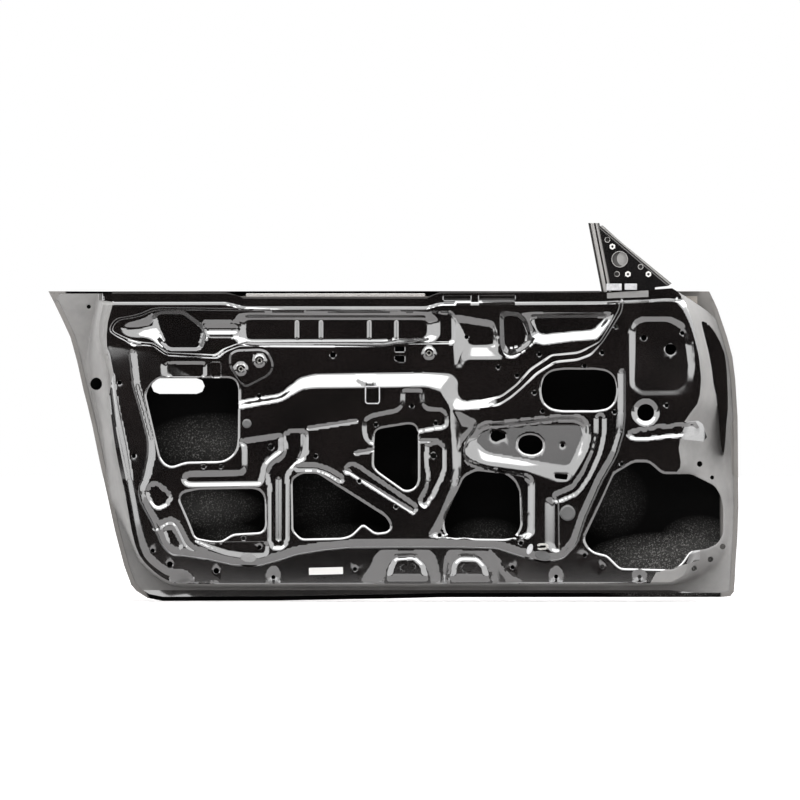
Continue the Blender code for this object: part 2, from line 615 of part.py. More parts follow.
def distance_to(points, outline):
    """Distance of each point from a closed outline."""
    nearest = np.full(len(points), np.inf)
    for start, end in zip(outline, np.roll(outline, -1, axis=0)):
        run = end - start
        share = np.clip((points - start) @ run / (run @ run), 0, 1)
        nearest = np.minimum(nearest, np.linalg.norm(points - start - share[:, None] * run, axis=1))
    return nearest


def ramp(points, rim, floor):
    """0 outside the rim line, 1 inside the floor line, and even between the two."""
    share = np.zeros(len(points))
    low = rim.min(axis=0)
    high = rim.max(axis=0)
    near = np.flatnonzero(((points >= low) & (points <= high)).all(axis=1))
    near = near[within(points[near], rim)]
    deep = within(points[near], floor)
    share[near[deep]] = 1
    slope = near[~deep]
    to_rim = distance_to(points[slope], rim)
    to_floor = distance_to(points[slope], floor)
    share[slope] = to_rim / (to_rim + to_floor)
    return share


def pressings():
    """Every pressing of the web as (rim, floor, level, depth), in the order they are struck."""
    struck = [
        (UPPER_FIELD_RIM_PIXELS, UPPER_FIELD_FLOOR_PIXELS, UPPER_FIELD_Y),
        (BELT_BAND_RIM_PIXELS, BELT_BAND_FLOOR_PIXELS, BELT_BAND_Y),
        (SEAL_LAND_RIM_PIXELS, SEAL_LAND_FLOOR_PIXELS, SEAL_LAND_Y),
        (BASIN_RIM_PIXELS, BASIN_FLOOR_PIXELS, BASIN_Y),
        (REAR_POCKET_RIM_PIXELS, REAR_POCKET_FLOOR_PIXELS, REAR_POCKET_Y),
        (CHANNEL_RIM_PIXELS, CHANNEL_FLOOR_PIXELS, CHANNEL_Y),
        (STEP_POCKET_RIM_PIXELS, STEP_POCKET_FLOOR_PIXELS, STEP_POCKET_Y),
        (FRONT_SHELF_RIM_PIXELS, FRONT_SHELF_FLOOR_PIXELS, FRONT_SHELF_Y),
        (FRONT_POCKET_RIM_PIXELS, FRONT_POCKET_FLOOR_PIXELS, FRONT_POCKET_Y),
        (HUMP_REAR_RIM_PIXELS, HUMP_REAR_FLOOR_PIXELS, HUMP_Y),
        (HUMP_FRONT_RIM_PIXELS, HUMP_FRONT_FLOOR_PIXELS, HUMP_Y),
    ]
    found = [(place(rim), place(floor), level, None) for rim, floor, level in struck]
    neck = place(((196, 329.4), (246, 329.4)))
    found.append((band(neck, GROOVE_RIM_HALF), band(neck, GROOVE_FLOOR_HALF), NECK_Y, None))
    hinge_land = place(HINGE_LAND_RIM_PIXELS)
    found.append((hinge_land, inset(hinge_land, STEEP_FLANK), HINGE_LAND_Y, None))
    pad = place(BRACKET_PAD_PIXELS)
    found.append((pad, inset(pad, STEEP_FLANK), BRACKET_PAD_Y, None))
    for middle in DRAIN_TAB_PIXELS:
        rim = place([(middle + share * DRAIN_TAB_HALF_PIXELS, row) for share, row in DRAIN_TAB_RIM_SHARES])
        found.append((rim, inset(rim, STEEP_FLANK), DRAIN_TAB_Y, None))
    uneven = [
        (ARMREST_RIM_PIXELS, ARMREST_FLOOR_PIXELS, ARMREST_LEAN),
        (WINDER_PANEL_RIM_PIXELS, WINDER_PANEL_FLOOR_PIXELS, PANEL_LEAN),
        (ACCESS_LAND_RIM_PIXELS, ACCESS_LAND_FLOOR_PIXELS, STRAP_DEPTH),
        (LOCK_LAND_RIM_PIXELS, LOCK_LAND_FLOOR_PIXELS, SHALLOW_DEPTH),
        (POST_LAND_RIM_PIXELS, POST_LAND_FLOOR_PIXELS, BEAD_DEPTH),
        (FIELD_STEP_RIM_PIXELS, FIELD_STEP_FLOOR_PIXELS, PANEL_DEPTH),
    ]
    found += [(place(rim), place(floor), None, depth) for rim, floor, depth in uneven]
    even = [
        (REAR_STRAP_PIXELS, STEEP_FLANK, STRAP_DEPTH),
        (LOOP_STRAP_PIXELS, STEEP_FLANK, STRAP_DEPTH),
        (CATCH_STRAP_PIXELS, STEEP_FLANK, STRAP_DEPTH),
        (LEDGE_PAD_PIXELS, STEEP_FLANK, -STRAP_DEPTH),
        (KIDNEY_PIXELS, BEAD_FLANK, BEAD_DEPTH),
        (SLOT_LAND_PIXELS, STEEP_FLANK, STRAP_DEPTH),
        (LOCK_BEAD_PIXELS, BEAD_FLANK, BEAD_DEPTH),
        (POST_BEAD_PIXELS, BEAD_FLANK, BEAD_DEPTH),
        (SLOPE_BEAD_PIXELS, STEEP_FLANK, SHALLOW_DEPTH),
    ]
    for rim, flank, depth in even:
        rim = place(rim)
        found.append((rim, inset(rim, flank), None, depth))
    arc = place(ARC_BEAD_PIXELS)
    found.append((band(arc, ARC_HALF), band(arc, ARC_HALF / 3), None, STRAP_DEPTH))
    side = place(SIDE_STRAP_PIXELS)
    found.append((band(side, SIDE_STRAP_HALF), band(side, SIDE_STRAP_HALF / 2), None, STRAP_DEPTH))
    groove = place(CARRIER_GROOVE_PIXELS)
    found.append((band(groove, GROOVE_RIM_HALF), band(groove, GROOVE_FLOOR_HALF), None, GROOVE_DEPTH))
    for centre in BOSS_PIXELS.values():
        foot = ring(spot(centre), BOSS_FOOT_RADIUS, BOSS_SIDES)
        top = ring(spot(centre), BOSS_TOP_RADIUS, BOSS_SIDES)
        found.append((foot, top, None, -BOSS_HEIGHT))
    return found


def panel_y(points, struck):
    """Depth of the inner panel's cabin face, from the flange up the walls to the web and its pressings."""
    points = np.asarray(points, float).reshape(-1, 2)
    flange = skin_y(points) - SKIN_SHEET - HEM_GAP - PANEL_SHEET
    share = ramp(points, place(WALL_FOOT_PIXELS), place(WEB_EDGE_PIXELS))
    y = flange + share * (LOWER_FIELD_Y - flange)
    for rim, floor, level, depth in struck:
        share = ramp(points, rim, floor)
        if isinstance(depth, tuple):
            foot_depth, top_depth, foot_row, top_row = depth
            foot_height = spot((0, foot_row))[1]
            top_height = spot((0, top_row))[1]
            rise = np.clip((points[:, 1] - foot_height) / (top_height - foot_height), 0, 1)
            y = y + share * (foot_depth + (top_depth - foot_depth) * rise)
        elif level is None:
            y = y + share * depth
        elif level == BRACKET_PAD_Y:
            y = y + share * np.minimum(level - y, 0)
        else:
            y = y + share * np.maximum(level - y, 0)
    return y


def cut_sheet(outline, holes, lines, spare=()):
    """Flat triangulated sheet inside an outline, without its holes, creased along the lines."""
    points = []
    edges = []
    for line in [outline, *holes, *lines]:
        first = len(points)
        points += [Vector(point) for point in line]
        edges += [(first + i, first + (i + 1) % len(line)) for i in range(len(line))]
    points += [Vector(point) for point in spare]
    found = delaunay_2d_cdt(points, edges, [], 0, POINT_MERGE)
    corners = np.array([tuple(point) for point in found[0]])
    faces = np.array([tuple(face) for face in found[2]])
    middles = corners[faces].mean(axis=1)
    kept = within(middles, outline)
    for hole in holes:
        kept &= ~within(middles, hole)
    faces = without_edge_slivers(corners, faces[kept])
    used = np.unique(faces)
    index = np.zeros(len(corners), int)
    index[used] = np.arange(len(used))
    return corners[used], index[faces]


def without_edge_slivers(corners, faces):
    """Leaves out the flat triangles that points on a straight edge make."""
    kept = edge_slivers_dropped(corners, faces)
    while len(kept) < len(faces):
        faces = kept
        kept = edge_slivers_dropped(corners, faces)
    return kept


def edge_slivers_dropped(corners, faces):
    """One pass over the triangles that have an open side."""
    sides = np.concatenate([faces[:, [0, 1]], faces[:, [1, 2]], faces[:, [2, 0]]])
    _, index, count = np.unique(np.sort(sides, axis=1), axis=0, return_inverse=True, return_counts=True)
    open_sides = count[index.reshape(-1)].reshape(3, -1) == 1
    spans = np.linalg.norm(corners[sides[:, 0]] - corners[sides[:, 1]], axis=1).reshape(3, -1)
    first, second, third = (corners[faces[:, i]] for i in range(3))
    doubled = np.abs(np.cross(second - first, third - first))
    flat = doubled / spans.max(axis=0) < POINT_MERGE
    return faces[~(flat & open_sides.any(axis=0))]


def skin_outline():
    """Closed outline of the skin, and the number of its points that lie along the belt."""
    belt = divided(place(SKIN_BELT_PIXELS), 2 * LONGEST_EDGE)
    rest = place(SKIN_FRONT_PIXELS + SKIN_FOOT_PIXELS + SKIN_REAR_PIXELS)
    closing = divided(np.concatenate([belt[-1:], rest, belt[:1]]), LONGEST_EDGE)
    return np.concatenate([belt, closing[1:-1]]), len(belt)


def panel_outline():
    """Closed outline of the inner panel: the belt edge, then inside the hem all round."""
    outer, belt_count = skin_outline()
    inner = inset(outer, SKIN_SHEET + HEM_GAP)[belt_count:]
    belt = place(PANEL_BELT_PIXELS)
    notch = place(PANEL_NOTCH_PIXELS)
    low = belt[-1][1] - STEEP_FLANK
    high = belt[0][1] - STEEP_FLANK
    front = (inner[:, 0] > 0) & (inner[:, 1] < low)
    rear = (inner[:, 0] <= 0) & (inner[:, 1] < high)
    inner = inner[front | rear]
    above = (inner[:, 0] > 0) & (inner[:, 1] > notch[0][1] + POINT_MERGE)
    below = inner[:, 1] <= notch[0][1] + POINT_MERGE
    beside = (inner[:, 0] > 0) & below & (inner[:, 1] >= notch[-1][1] - POINT_MERGE)
    rest = inner[~above & ~beside]
    return np.concatenate([belt, inner[above], notch, rest])


def new_object(name, mesh, material):
    """Object of the door's collection with its own material."""
    thing = bpy.data.objects.new(name, mesh)
    parts.objects.link(thing)
    mesh.materials.append(material)
    return thing


def finish(name, bm, material, smooth=False):
    """Mesh object from a bmesh, its faces turned outwards."""
    bmesh.ops.recalc_face_normals(bm, faces=bm.faces)
    for face in bm.faces:
        face.smooth = smooth
    mesh = bpy.data.meshes.new(name)
    bm.to_mesh(mesh)
    bm.free()
    return new_object(name, mesh, material)


def thicken(thing, sheet, inward=True):
    """Gives an open sheet its metal thickness."""
    solidify = thing.modifiers.new("Sheet", "SOLIDIFY")
    solidify.thickness = sheet
    solidify.offset = -1 if inward else 1
    solidify.use_even_offset = True
    solidify.use_quality_normals = True
    solidify.use_rim = True
    return thing


def face_towards(bm, faces, direction):
    """Turns a whole open sheet so that the given faces look along a direction."""
    total = sum((face.normal * face.calc_area() for face in faces), Vector((0, 0, 0)))
    if total.dot(direction) < 0:
        bmesh.ops.reverse_faces(bm, faces=bm.faces)


def painted(name, colour, roughness, metallic=0):
    """Principled material."""
    material = bpy.data.materials.new(name)
    material.use_nodes = True
    shader = material.node_tree.nodes["Principled BSDF"]
    shader.inputs["Base Color"].default_value = (*colour, 1)
    shader.inputs["Roughness"].default_value = roughness
    shader.inputs["Metallic"].default_value = metallic
    return material


def build_inner_panel():
    """The pressed inner panel, struck from one sheet."""
    struck = pressings()
    lines = [divided(place(WALL_FOOT_PIXELS), LONGEST_EDGE, True), place(WEB_EDGE_PIXELS)]
    for rim, floor, _, _ in struck:
        lines += [rim, floor]
    holes = [place(pixels) for pixels in CUTOUT_PIXELS.values()]
    holes += [ring(spot(pixel), SMALL_HOLE_RADIUS, SMALL_HOLE_SIDES) for pixel in SMALL_HOLE_PIXELS]
    holes += [ring(spot(pixel), CLIP_HOLE_RADIUS, HOLE_SIDES) for pixel in CLIP_HOLE_PIXELS]
    holes += [ring(spot(pixel), BOSS_HOLE_RADIUS, HOLE_SIDES) for pixel in BOSS_PIXELS.values()]
    holes += [ring(spot(PLUG_PIXELS[end]), PLUG_HOLE_RADII[end], BOSS_SIDES) for end in PLUG_PIXELS]
    holes.append(ring(spot(HARNESS_HOLE_PIXEL), HARNESS_HOLE_RADIUS, ROUND_SIDES))
    holes.append(ring(spot(LATCH_HOLE_PIXEL), LATCH_HOLE_RADIUS, BOSS_SIDES))
    holes.append(ring(spot(REGULATOR_HOLE_PIXEL), REGULATOR_HOLE_RADIUS, BOSS_SIDES))
    corners, faces = cut_sheet(panel_outline(), holes, lines)
    depths = panel_y(corners, struck)
    bm = bmesh.new()
    vertices = [bm.verts.new((x, y, z)) for (x, z), y in zip(corners, depths)]
    for face in faces:
        bm.faces.new([vertices[i] for i in face])
    panel = finish("inner_panel", bm, painted("panel_black", BLACK_PAINT, 0.25))
    turn_sheet(panel.data, Vector((0, -1, 0)))
    return thicken(panel, PANEL_SHEET)


def turn_sheet(mesh, direction):
    """Flips an open sheet's faces if they look away from a direction."""
    bm = bmesh.new()
    bm.from_mesh(mesh)
    bm.normal_update()
    face_towards(bm, bm.faces, direction)
    bm.to_mesh(mesh)
    bm.free()


def build_outer_skin():
    """The crowned skin, its edge folded round the inner panel's flange and turned in along the belt."""
    outline, belt_count = skin_outline()
    opening = place(HANDLE_OPENING_PIXELS)
    columns = np.arange(-DOOR_LENGTH / 2, DOOR_LENGTH / 2, SKIN_COLUMN_PITCH)
    rows = [share * BELT_HEIGHT for share in SKIN_ROW_SHARES]
    grid = np.array([(x, z) for z in rows for x in columns])
    inner = inset(outline, SKIN_EDGE_CLEAR)
    clear = within(grid, inner) & (distance_to(grid, opening) > SKIN_EDGE_CLEAR) & ~within(grid, opening)
    corners, faces = cut_sheet(outline, [opening], [], grid[clear])
    depths = skin_y(corners)
    bm = bmesh.new()
    vertices = [bm.verts.new((x, y, z)) for (x, z), y in zip(corners, depths)]
    for face in faces:
        bm.faces.new([vertices[i] for i in face])
    bm.normal_update()
    face_towards(bm, bm.faces, Vector((0, 1, 0)))

    # The fold starts and ends one edge away from the belt's corners
    fold = 2 * SKIN_SHEET + 2 * HEM_GAP + PANEL_SHEET
    folded = inset(outline, HEM_WIDTH)
    index_of = {}
    for i, point in enumerate(outline):
        nearest = min(vertices, key=lambda v: (v.co.x - point[0]) ** 2 + (v.co.z - point[1]) ** 2)
        index_of[nearest] = i
    hem = []
    belt = []
    for edge in bm.edges:
        if not edge.is_boundary or not all(v in index_of for v in edge.verts):
            continue
        first, second = sorted(index_of[v] for v in edge.verts)
        if first >= belt_count and second < len(outline):
            hem.append(edge)
        elif 3 <= first and second <= belt_count - 2:
            belt.append(edge)
    wall = bmesh.ops.extrude_edge_only(bm, edges=hem)["geom"]
    wall_vertices = [v for v in wall if isinstance(v, bmesh.types.BMVert)]
    wall_edges = [e for e in wall if isinstance(e, bmesh.types.BMEdge)]
    for vertex in wall_vertices:
        vertex.co.y -= fold
    lower = bmesh.ops.extrude_edge_only(bm, edges=wall_edges)["geom"]
    for vertex in [v for v in lower if isinstance(v, bmesh.types.BMVert)]:
        i = int(np.argmin(np.linalg.norm(outline - (vertex.co.x, vertex.co.z), axis=1)))
        x, z = folded[i]
        vertex.co = (x, skin_y((x, z))[0] - fold, z)
    turned = bmesh.ops.extrude_edge_only(bm, edges=belt)["geom"]
    for vertex in [v for v in turned if isinstance(v, bmesh.types.BMVert)]:
        vertex.co.y -= BELT_FLANGE_DEPTH
    for face in bm.faces:
        face.smooth = True
    mesh = bpy.data.meshes.new("outer_skin")
    bm.to_mesh(mesh)
    bm.free()
    skin = new_object("outer_skin", mesh, painted("skin_primer", PRIMER_TAN, 0.45))
    return thicken(skin, SKIN_SHEET)


def swept_sheet(name, stations, section, sheet, material, facing):
    """Sheet-metal rail: a section of (depth, height) points carried through its stations."""
    bm = bmesh.new()
    rows = []
    for along, depth, height in stations:
        rows.append([bm.verts.new((along, depth + y, height + z)) for y, z in section])
    for first, second in zip(rows, rows[1:]):
        for i in range(len(section) - 1):
            bm.faces.new((first[i], first[i + 1], second[i + 1], second[i]))
    bm.normal_update()
    face_towards(bm, bm.faces, Vector(facing))
    mesh = bpy.data.meshes.new(name)
    bm.to_mesh(mesh)
    bm.free()
    return thicken(new_object(name, mesh, material), sheet)


def build_belt_rails():
    """Reinforcements behind the two sides of the glass slot."""
    black = painted("rail_black", BLACK_PAINT, 0.35)
    stations = []
    face = BELT_BAND_Y + PANEL_SHEET + SEAM_GAP
    for column, row in zip(RAIL_INNER_PIXELS, RAIL_INNER_TOP_PIXELS):
        along, height = spot((column, row))
        stations.append((along, face, height))
    section = [
        (0, 0),
        (0, -RAIL_LIP),
        (RAIL_INNER_DEPTH, -RAIL_LIP - RAIL_INNER_DEPTH / 2),
        (RAIL_INNER_DEPTH, -RAIL_INNER_HEIGHT),
    ]
    swept_sheet("belt_rail_inner", stations, section, RAIL_SHEET, black, (0, -1, 0))
    stations = []
    top = spot((0, BELT_PIXEL))[1] - BELT_FLANGE_DEPTH
    for column in RAIL_OUTER_PIXELS:
        along = spot((column, BELT_PIXEL))[0]
        stations.append((along, 0, top))
    build_outer_rail(stations, painted("rail_tan", PRIMER_TAN, 0.5))


def build_outer_rail(stations, material):
    """The outer rail follows the skin's inner face: two flanges on the skin and a raised web between them."""
    heights = [0, -RAIL_OUTER_FLANGE, -RAIL_OUTER_FLANGE - RAIL_OUTER_DEPTH / 2]
    flange_top = -RAIL_OUTER_HEIGHT + RAIL_OUTER_FLANGE
    heights += [flange_top + RAIL_OUTER_DEPTH / 2, flange_top]
    heights += [-RAIL_OUTER_HEIGHT]
    lifts = [0, 0, RAIL_OUTER_DEPTH, RAIL_OUTER_DEPTH, 0, 0]
    bm = bmesh.new()
    rows = []
    for along, _, top in stations:
        row = []
        for height, lift in zip(heights, lifts):
            face = skin_y((along, top + height))[0] - SKIN_SHEET - MASTIC_GAP - RAIL_SHEET
            row.append(bm.verts.new((along, face - lift, top + height)))
        rows.append(row)
    for first, second in zip(rows, rows[1:]):
        for i in range(len(heights) - 1):
            bm.faces.new((first[i], first[i + 1], second[i + 1], second[i]))
    bm.normal_update()
    face_towards(bm, bm.faces, Vector((0, -1, 0)))
    mesh = bpy.data.meshes.new("belt_rail_outer")
    bm.to_mesh(mesh)
    bm.free()
    return thicken(new_object("belt_rail_outer", mesh, material), RAIL_SHEET)


def prism(name, outline, near, far, material, holes=(), bevel=0):
    """Plate with a flat outline between two depths, and its holes."""
    corners, faces = cut_sheet(outline, list(holes), [])
    bm = bmesh.new()
    vertices = [bm.verts.new((x, near, z)) for x, z in corners]
    flat = [bm.faces.new([vertices[i] for i in face]) for face in faces]
    grown = bmesh.ops.extrude_face_region(bm, geom=flat)["geom"]
    for vertex in [v for v in grown if isinstance(v, bmesh.types.BMVert)]:
        vertex.co.y = far
    thing = finish(name, bm, material)
    if bevel:
        rounding = thing.modifiers.new("Edges", "BEVEL")
        rounding.width = bevel
        rounding.segments = 2
        rounding.limit_method = "ANGLE"
    return thing


def turned(name, pixel, profile, sides, material, smooth=True):
    """Turned piece on an axis along Y: a closed profile of (radius, depth) points, no radius being 0."""
    centre = spot(pixel)
    bm = bmesh.new()
    rings = []
    for x, z in ring((0, 0), 1, sides):
        rings.append([bm.verts.new((centre[0] + x * r, y, centre[1] + z * r)) for r, y in profile])
    for first, second in zip(rings, rings[1:] + rings[:1]):
        for i in range(len(profile)):
            j = (i + 1) % len(profile)
            bm.faces.new((first[i], first[j], second[j], second[i]))
    return finish(name, bm, material, smooth)


def button(name, pixel, profile, sides, material):
    """Turned piece that is solid on its axis: an open profile of (radius, depth) from end to end."""
    centre = spot(pixel)
    bm = bmesh.new()
    rings = []
    circle = ring((0, 0), 1, sides)
    for r, y in profile:
        rings.append([bm.verts.new((centre[0] + x * r, y, centre[1] + z * r)) for x, z in circle])
    for first, second in zip(rings, rings[1:]):
        for i in range(sides):
            j = (i + 1) % sides
            bm.faces.new((first[i], first[j], second[j], second[i]))
    bm.faces.new(rings[0])
    bm.faces.new(rings[-1])
    return finish(name, bm, material)


def build_plugs(struck):
    """Rubber blanking plugs pressed into their holes from the cabin side."""
    rubber = painted("plug_rubber", RUBBER, 0.6)
    for end, pixel in PLUG_PIXELS.items():
        hole = PLUG_HOLE_RADII[end]
        face = panel_y([spot(pixel)], struck)[0] - SEAM_GAP
        stem = hole - PLUG_CLEARANCE
        profile = [
            (stem, face - PLUG_HEAD - PLUG_CROWN),
            (hole + PLUG_LIP, face - PLUG_HEAD / 2),
            (hole + PLUG_LIP, face),
            (stem, face),
            (stem - PLUG_CLEARANCE, face + PLUG_STEM),
        ]
        button("blanking_plug_" + end, pixel, profile, ROUND_SIDES, rubber)


def build_captive_nuts(struck):
    """Weld nuts behind the threaded bosses."""
    zinc = painted("nut_zinc", ZINC, 0.35, 0.8)
    for where, pixel in BOSS_PIXELS.items():
        near = panel_y([spot(pixel)], struck)[0] + PANEL_SHEET + SEAM_GAP
        far = near + NUT_HEIGHT
        profile = [(NUT_BORE_RADIUS, near), (NUT_BORE_RADIUS, far), (BOSS_TOP_RADIUS * NUT_FIT_SHARE, far)]
        profile += [(BOSS_TOP_RADIUS * NUT_FIT_SHARE, near)]
        turned("weld_nut_" + where, pixel, profile, BOSS_SIDES, zinc, False)


def build_mirror_mount():
    """Triangular mirror plate with its folded front edge, its nuts, and the glass channel behind it."""
    black = painted("mirror_black", BLACK_PAINT, 0.3)
    zinc = painted("mirror_zinc", ZINC, 0.3, 0.8)
    outline = place(MIRROR_PLATE_PIXELS)
    holes = [ring(spot(MIRROR_HOLE_PIXEL), MIRROR_HOLE_RADIUS, ROUND_SIDES)]
    holes += [ring(spot(pixel), MIRROR_RING_RADIUS, HOLE_SIDES) for pixel in MIRROR_RING_PIXELS]
    holes += [ring(spot(pixel), MIRROR_NUT_BORE, HOLE_SIDES) for pixel in MIRROR_NUT_PIXELS.values()]
    corners, faces = cut_sheet(outline, holes, [])
    bm = bmesh.new()
    vertices = [bm.verts.new((x, MIRROR_PLATE_Y, z)) for x, z in corners]
    for face in faces:
        bm.faces.new([vertices[i] for i in face])
    slope = place(MIRROR_FLANGE_PIXELS)
    fold = []
    for edge in bm.edges:
        ends = [np.linalg.norm(slope - (v.co.x, v.co.z), axis=1).min() for v in edge.verts]
        if edge.is_boundary and max(ends) < POINT_MERGE:
            fold.append(edge)
    bm.normal_update()
    face_towards(bm, bm.faces, Vector((0, -1, 0)))
    folded = bmesh.ops.extrude_edge_only(bm, edges=fold)["geom"]
    for vertex in [v for v in folded if isinstance(v, bmesh.types.BMVert)]:
        vertex.co.y += MIRROR_FLANGE_DEPTH
    mesh = bpy.data.meshes.new("mirror_plate")
    bm.to_mesh(mesh)
    bm.free()
    thicken(new_object("mirror_plate", mesh, black), RAIL_SHEET)
    near = MIRROR_PLATE_Y - SEAM_GAP
    for where, pixel in MIRROR_NUT_PIXELS.items():
        profile = [(MIRROR_NUT_BORE, near - MIRROR_NUT_HEIGHT), (MIRROR_NUT_BORE, near)]
        profile += [(MIRROR_NUT_RADIUS, near), (MIRROR_NUT_RADIUS, near - MIRROR_NUT_HEIGHT)]
        turned("mirror_nut_" + where, pixel, profile, NUT_SIDES, zinc, False)
    for where, (left, right, top, foot) in MIRROR_FOOT_PIXELS.items():
        outline = place([(left, foot), (right, foot), (right, top), (left, top)])
        name = "mirror_foot_" + where
        nylon = painted(name, NYLON, 0.5)
        prism(name, outline, near - MIRROR_FOOT_DEPTH, near, nylon, bevel=SWEEP_RADIUS / 2)


def build_frame_channel():
    """Front glass channel: a folded channel, open to the rear, from the mirror plate down into the door."""
    top = spot(FRAME_CHANNEL_TOP_PIXEL)
    foot = spot(FRAME_CHANNEL_FOOT_PIXEL)
    near = FRAME_CHANNEL_Y
    far = near + FRAME_CHANNEL_DEPTH
    bm = bmesh.new()
    rows = []
    for along, height in (top, foot):
        ahead = along + FRAME_CHANNEL_WIDTH
        row = [(along, near), (ahead, near), (ahead, far), (along, far)]
        rows.append([bm.verts.new((x, y, height)) for x, y in row])
    for i in range(3):
        bm.faces.new((rows[0][i], rows[0][i + 1], rows[1][i + 1], rows[1][i]))
    bm.normal_update()
    face_towards(bm, list(bm.faces)[:1], Vector((0, -1, 0)))
    mesh = bpy.data.meshes.new("front_glass_channel")
    bm.to_mesh(mesh)
    bm.free()
    black = painted("channel_black", BLACK_PAINT, 0.4)
    return thicken(new_object("front_glass_channel", mesh, black), RAIL_SHEET)


def build_sweep():
    """Pile strip clipped over the lower middle of the inner belt edge."""
    left, top = spot((SWEEP_PIXELS[0], SWEEP_TOP_PIXEL))
    right, rail_top = spot((SWEEP_PIXELS[1], RAIL_INNER_TOP_PIXELS[2]))
    foot = rail_top + SEAM_GAP
    near = BELT_BAND_Y + PANEL_SHEET + SEAM_GAP
    outline = np.array([(left, foot), (right, foot), (right, top), (left, top)])
    pile = painted("sweep_pile", PILE, 0.9)
    prism("belt_sweep", outline, near, near + SWEEP_THICKNESS, pile, bevel=SWEEP_RADIUS)


def build_trim_clip():
    """Open-backed clip for the trim, on the shoulder."""
    outline = place(TRIM_CLIP_PIXELS)
    nylon = painted("clip_nylon", NYLON, 0.45)
    hole = inset(outline, TRIM_CLIP_WALL)
    near = LOWER_FIELD_Y - SEAM_GAP
    prism("trim_clip", outline, near - TRIM_CLIP_DEPTH, near, nylon, [hole])


def oval(pixel, half_length, half_height, turn):
    """Outline of an oval turned by an angle in degrees."""
    shape = ring((0, 0), 1, ROUND_SIDES) * (half_length, half_height)
    cosine = math.cos(math.radians(turn))
    sine = math.sin(math.radians(turn))
    return spot(pixel) + shape @ np.array([[cosine, sine], [-sine, cosine]])


def build_groove_fittings():
    """Oval pads pressed over the carrier groove, and the sprung clip and lug beside the front one."""
    near = LOWER_FIELD_Y - SEAM_GAP
    for end, pixel in GROOVE_PAD_PIXELS.items():
        outline = oval(pixel, GROOVE_PAD_HALF_LENGTH, GROOVE_PAD_HALF_HEIGHT, GROOVE_PAD_TURNS[end])
        rubber = painted("groove_pad_" + end, RUBBER, 0.7)
        prism("groove_pad_" + end, outline, near - GROOVE_PAD_THICKNESS, near, rubber, bevel=GROOVE_PAD_BEVEL)
    zinc = painted("clip_zinc", ZINC, 0.25, 0.8)
    prism("harness_clip", place(HARNESS_CLIP_PIXELS), near - HARNESS_CLIP_DEPTH, near, zinc)
    outline = oval(HARNESS_LUG_PIXEL, HARNESS_LUG_HALF_LENGTH, HARNESS_LUG_HALF_HEIGHT, HARNESS_LUG_TURN)
    nylon = painted("lug_nylon", NYLON, 0.6)
    prism("harness_lug", outline, near - HARNESS_LUG_THICKNESS, near, nylon, bevel=GROOVE_PAD_BEVEL / 2)


def stand_on_origin():
    """Moves the door so that its box stands on the origin, its lowest point at height 0."""
    bpy.context.view_layer.update()
    graph = bpy.context.evaluated_depsgraph_get()
    corners = np.array([tuple(c) for thing in parts.objects for c in thing.evaluated_get(graph).bound_box])
    low = corners.min(axis=0)
    high = corners.max(axis=0)
    middle = (low + high) / 2
    shift = Matrix.Translation((-middle[0], -middle[1], -low[2]))
    for thing in parts.objects:
        thing.data.transform(shift)


def clear_scene():
    for thing in list(bpy.data.objects):
        bpy.data.objects.remove(thing, do_unlink=True)


def build():
    struck = pressings()
    build_outer_skin()
    build_inner_panel()
    build_belt_rails()
    build_sweep()
    build_mirror_mount()
    build_frame_channel()
    build_plugs(struck)
    build_captive_nuts(struck)
    build_trim_clip()
    build_groove_fittings()
    stand_on_origin()


clear_scene()
parts = bpy.data.collections.new("car_door_shell")
bpy.context.scene.collection.children.link(parts)
build()
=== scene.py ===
import math

import bpy
import numpy as np
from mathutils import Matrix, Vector
from mathutils.geometry import delaunay_2d_cdt


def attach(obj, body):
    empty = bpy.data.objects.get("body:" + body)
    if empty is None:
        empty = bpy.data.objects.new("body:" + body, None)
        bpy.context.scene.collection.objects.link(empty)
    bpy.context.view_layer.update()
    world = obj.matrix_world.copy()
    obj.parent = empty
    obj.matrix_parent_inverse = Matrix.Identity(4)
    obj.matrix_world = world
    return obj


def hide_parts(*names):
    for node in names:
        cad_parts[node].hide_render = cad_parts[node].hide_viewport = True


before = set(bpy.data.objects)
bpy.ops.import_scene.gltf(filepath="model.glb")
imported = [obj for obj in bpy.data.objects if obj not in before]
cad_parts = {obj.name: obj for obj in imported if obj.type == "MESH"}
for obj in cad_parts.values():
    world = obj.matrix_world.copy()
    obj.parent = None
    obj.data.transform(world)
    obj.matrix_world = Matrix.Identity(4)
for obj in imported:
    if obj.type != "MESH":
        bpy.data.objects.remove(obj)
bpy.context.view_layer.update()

# Overall sizes, and the view's pixels that bound the door
DOOR_LENGTH = 1.388
BELT_HEIGHT = 0.626
REAR_PIXEL = 48
FRONT_PIXEL = 742
FOOT_PIXEL = 603
BELT_PIXEL = 290
DOOR_SHIFT = (0.003, -0.0018364, -0.0032)

# Sheets and clearances
SKIN_SHEET = 0.0009
PANEL_SHEET = 0.0012
HEM_GAP = 0.0005

# How fine the pressed sheet is drawn
POINT_MERGE = 0.0002
FINE_PITCH = 0.0032
COARSE_EVERY = 5
LINE_PITCH = 0.0036
BEND_LIMIT = 0.00006
STEPS_IN_CELL = 3
STEPS_IN_PITCH = 4
SMOOTH_ANGLE = math.radians(38)

# Outlines drawn with corners: how much of them a curve takes, and its points as shares of its way
CORNER_CUT = 0.0080
SLOT_CORNER_CUT = CORNER_CUT / 4
CORNER_SHARE = 0.48
OUTLINE_CURVE = (0, 0.25, 0.5, 0.75, 1)
PATH_CURVE = (0, 0.33, 0.67, 1)
MITRE_LIMIT = 0.5

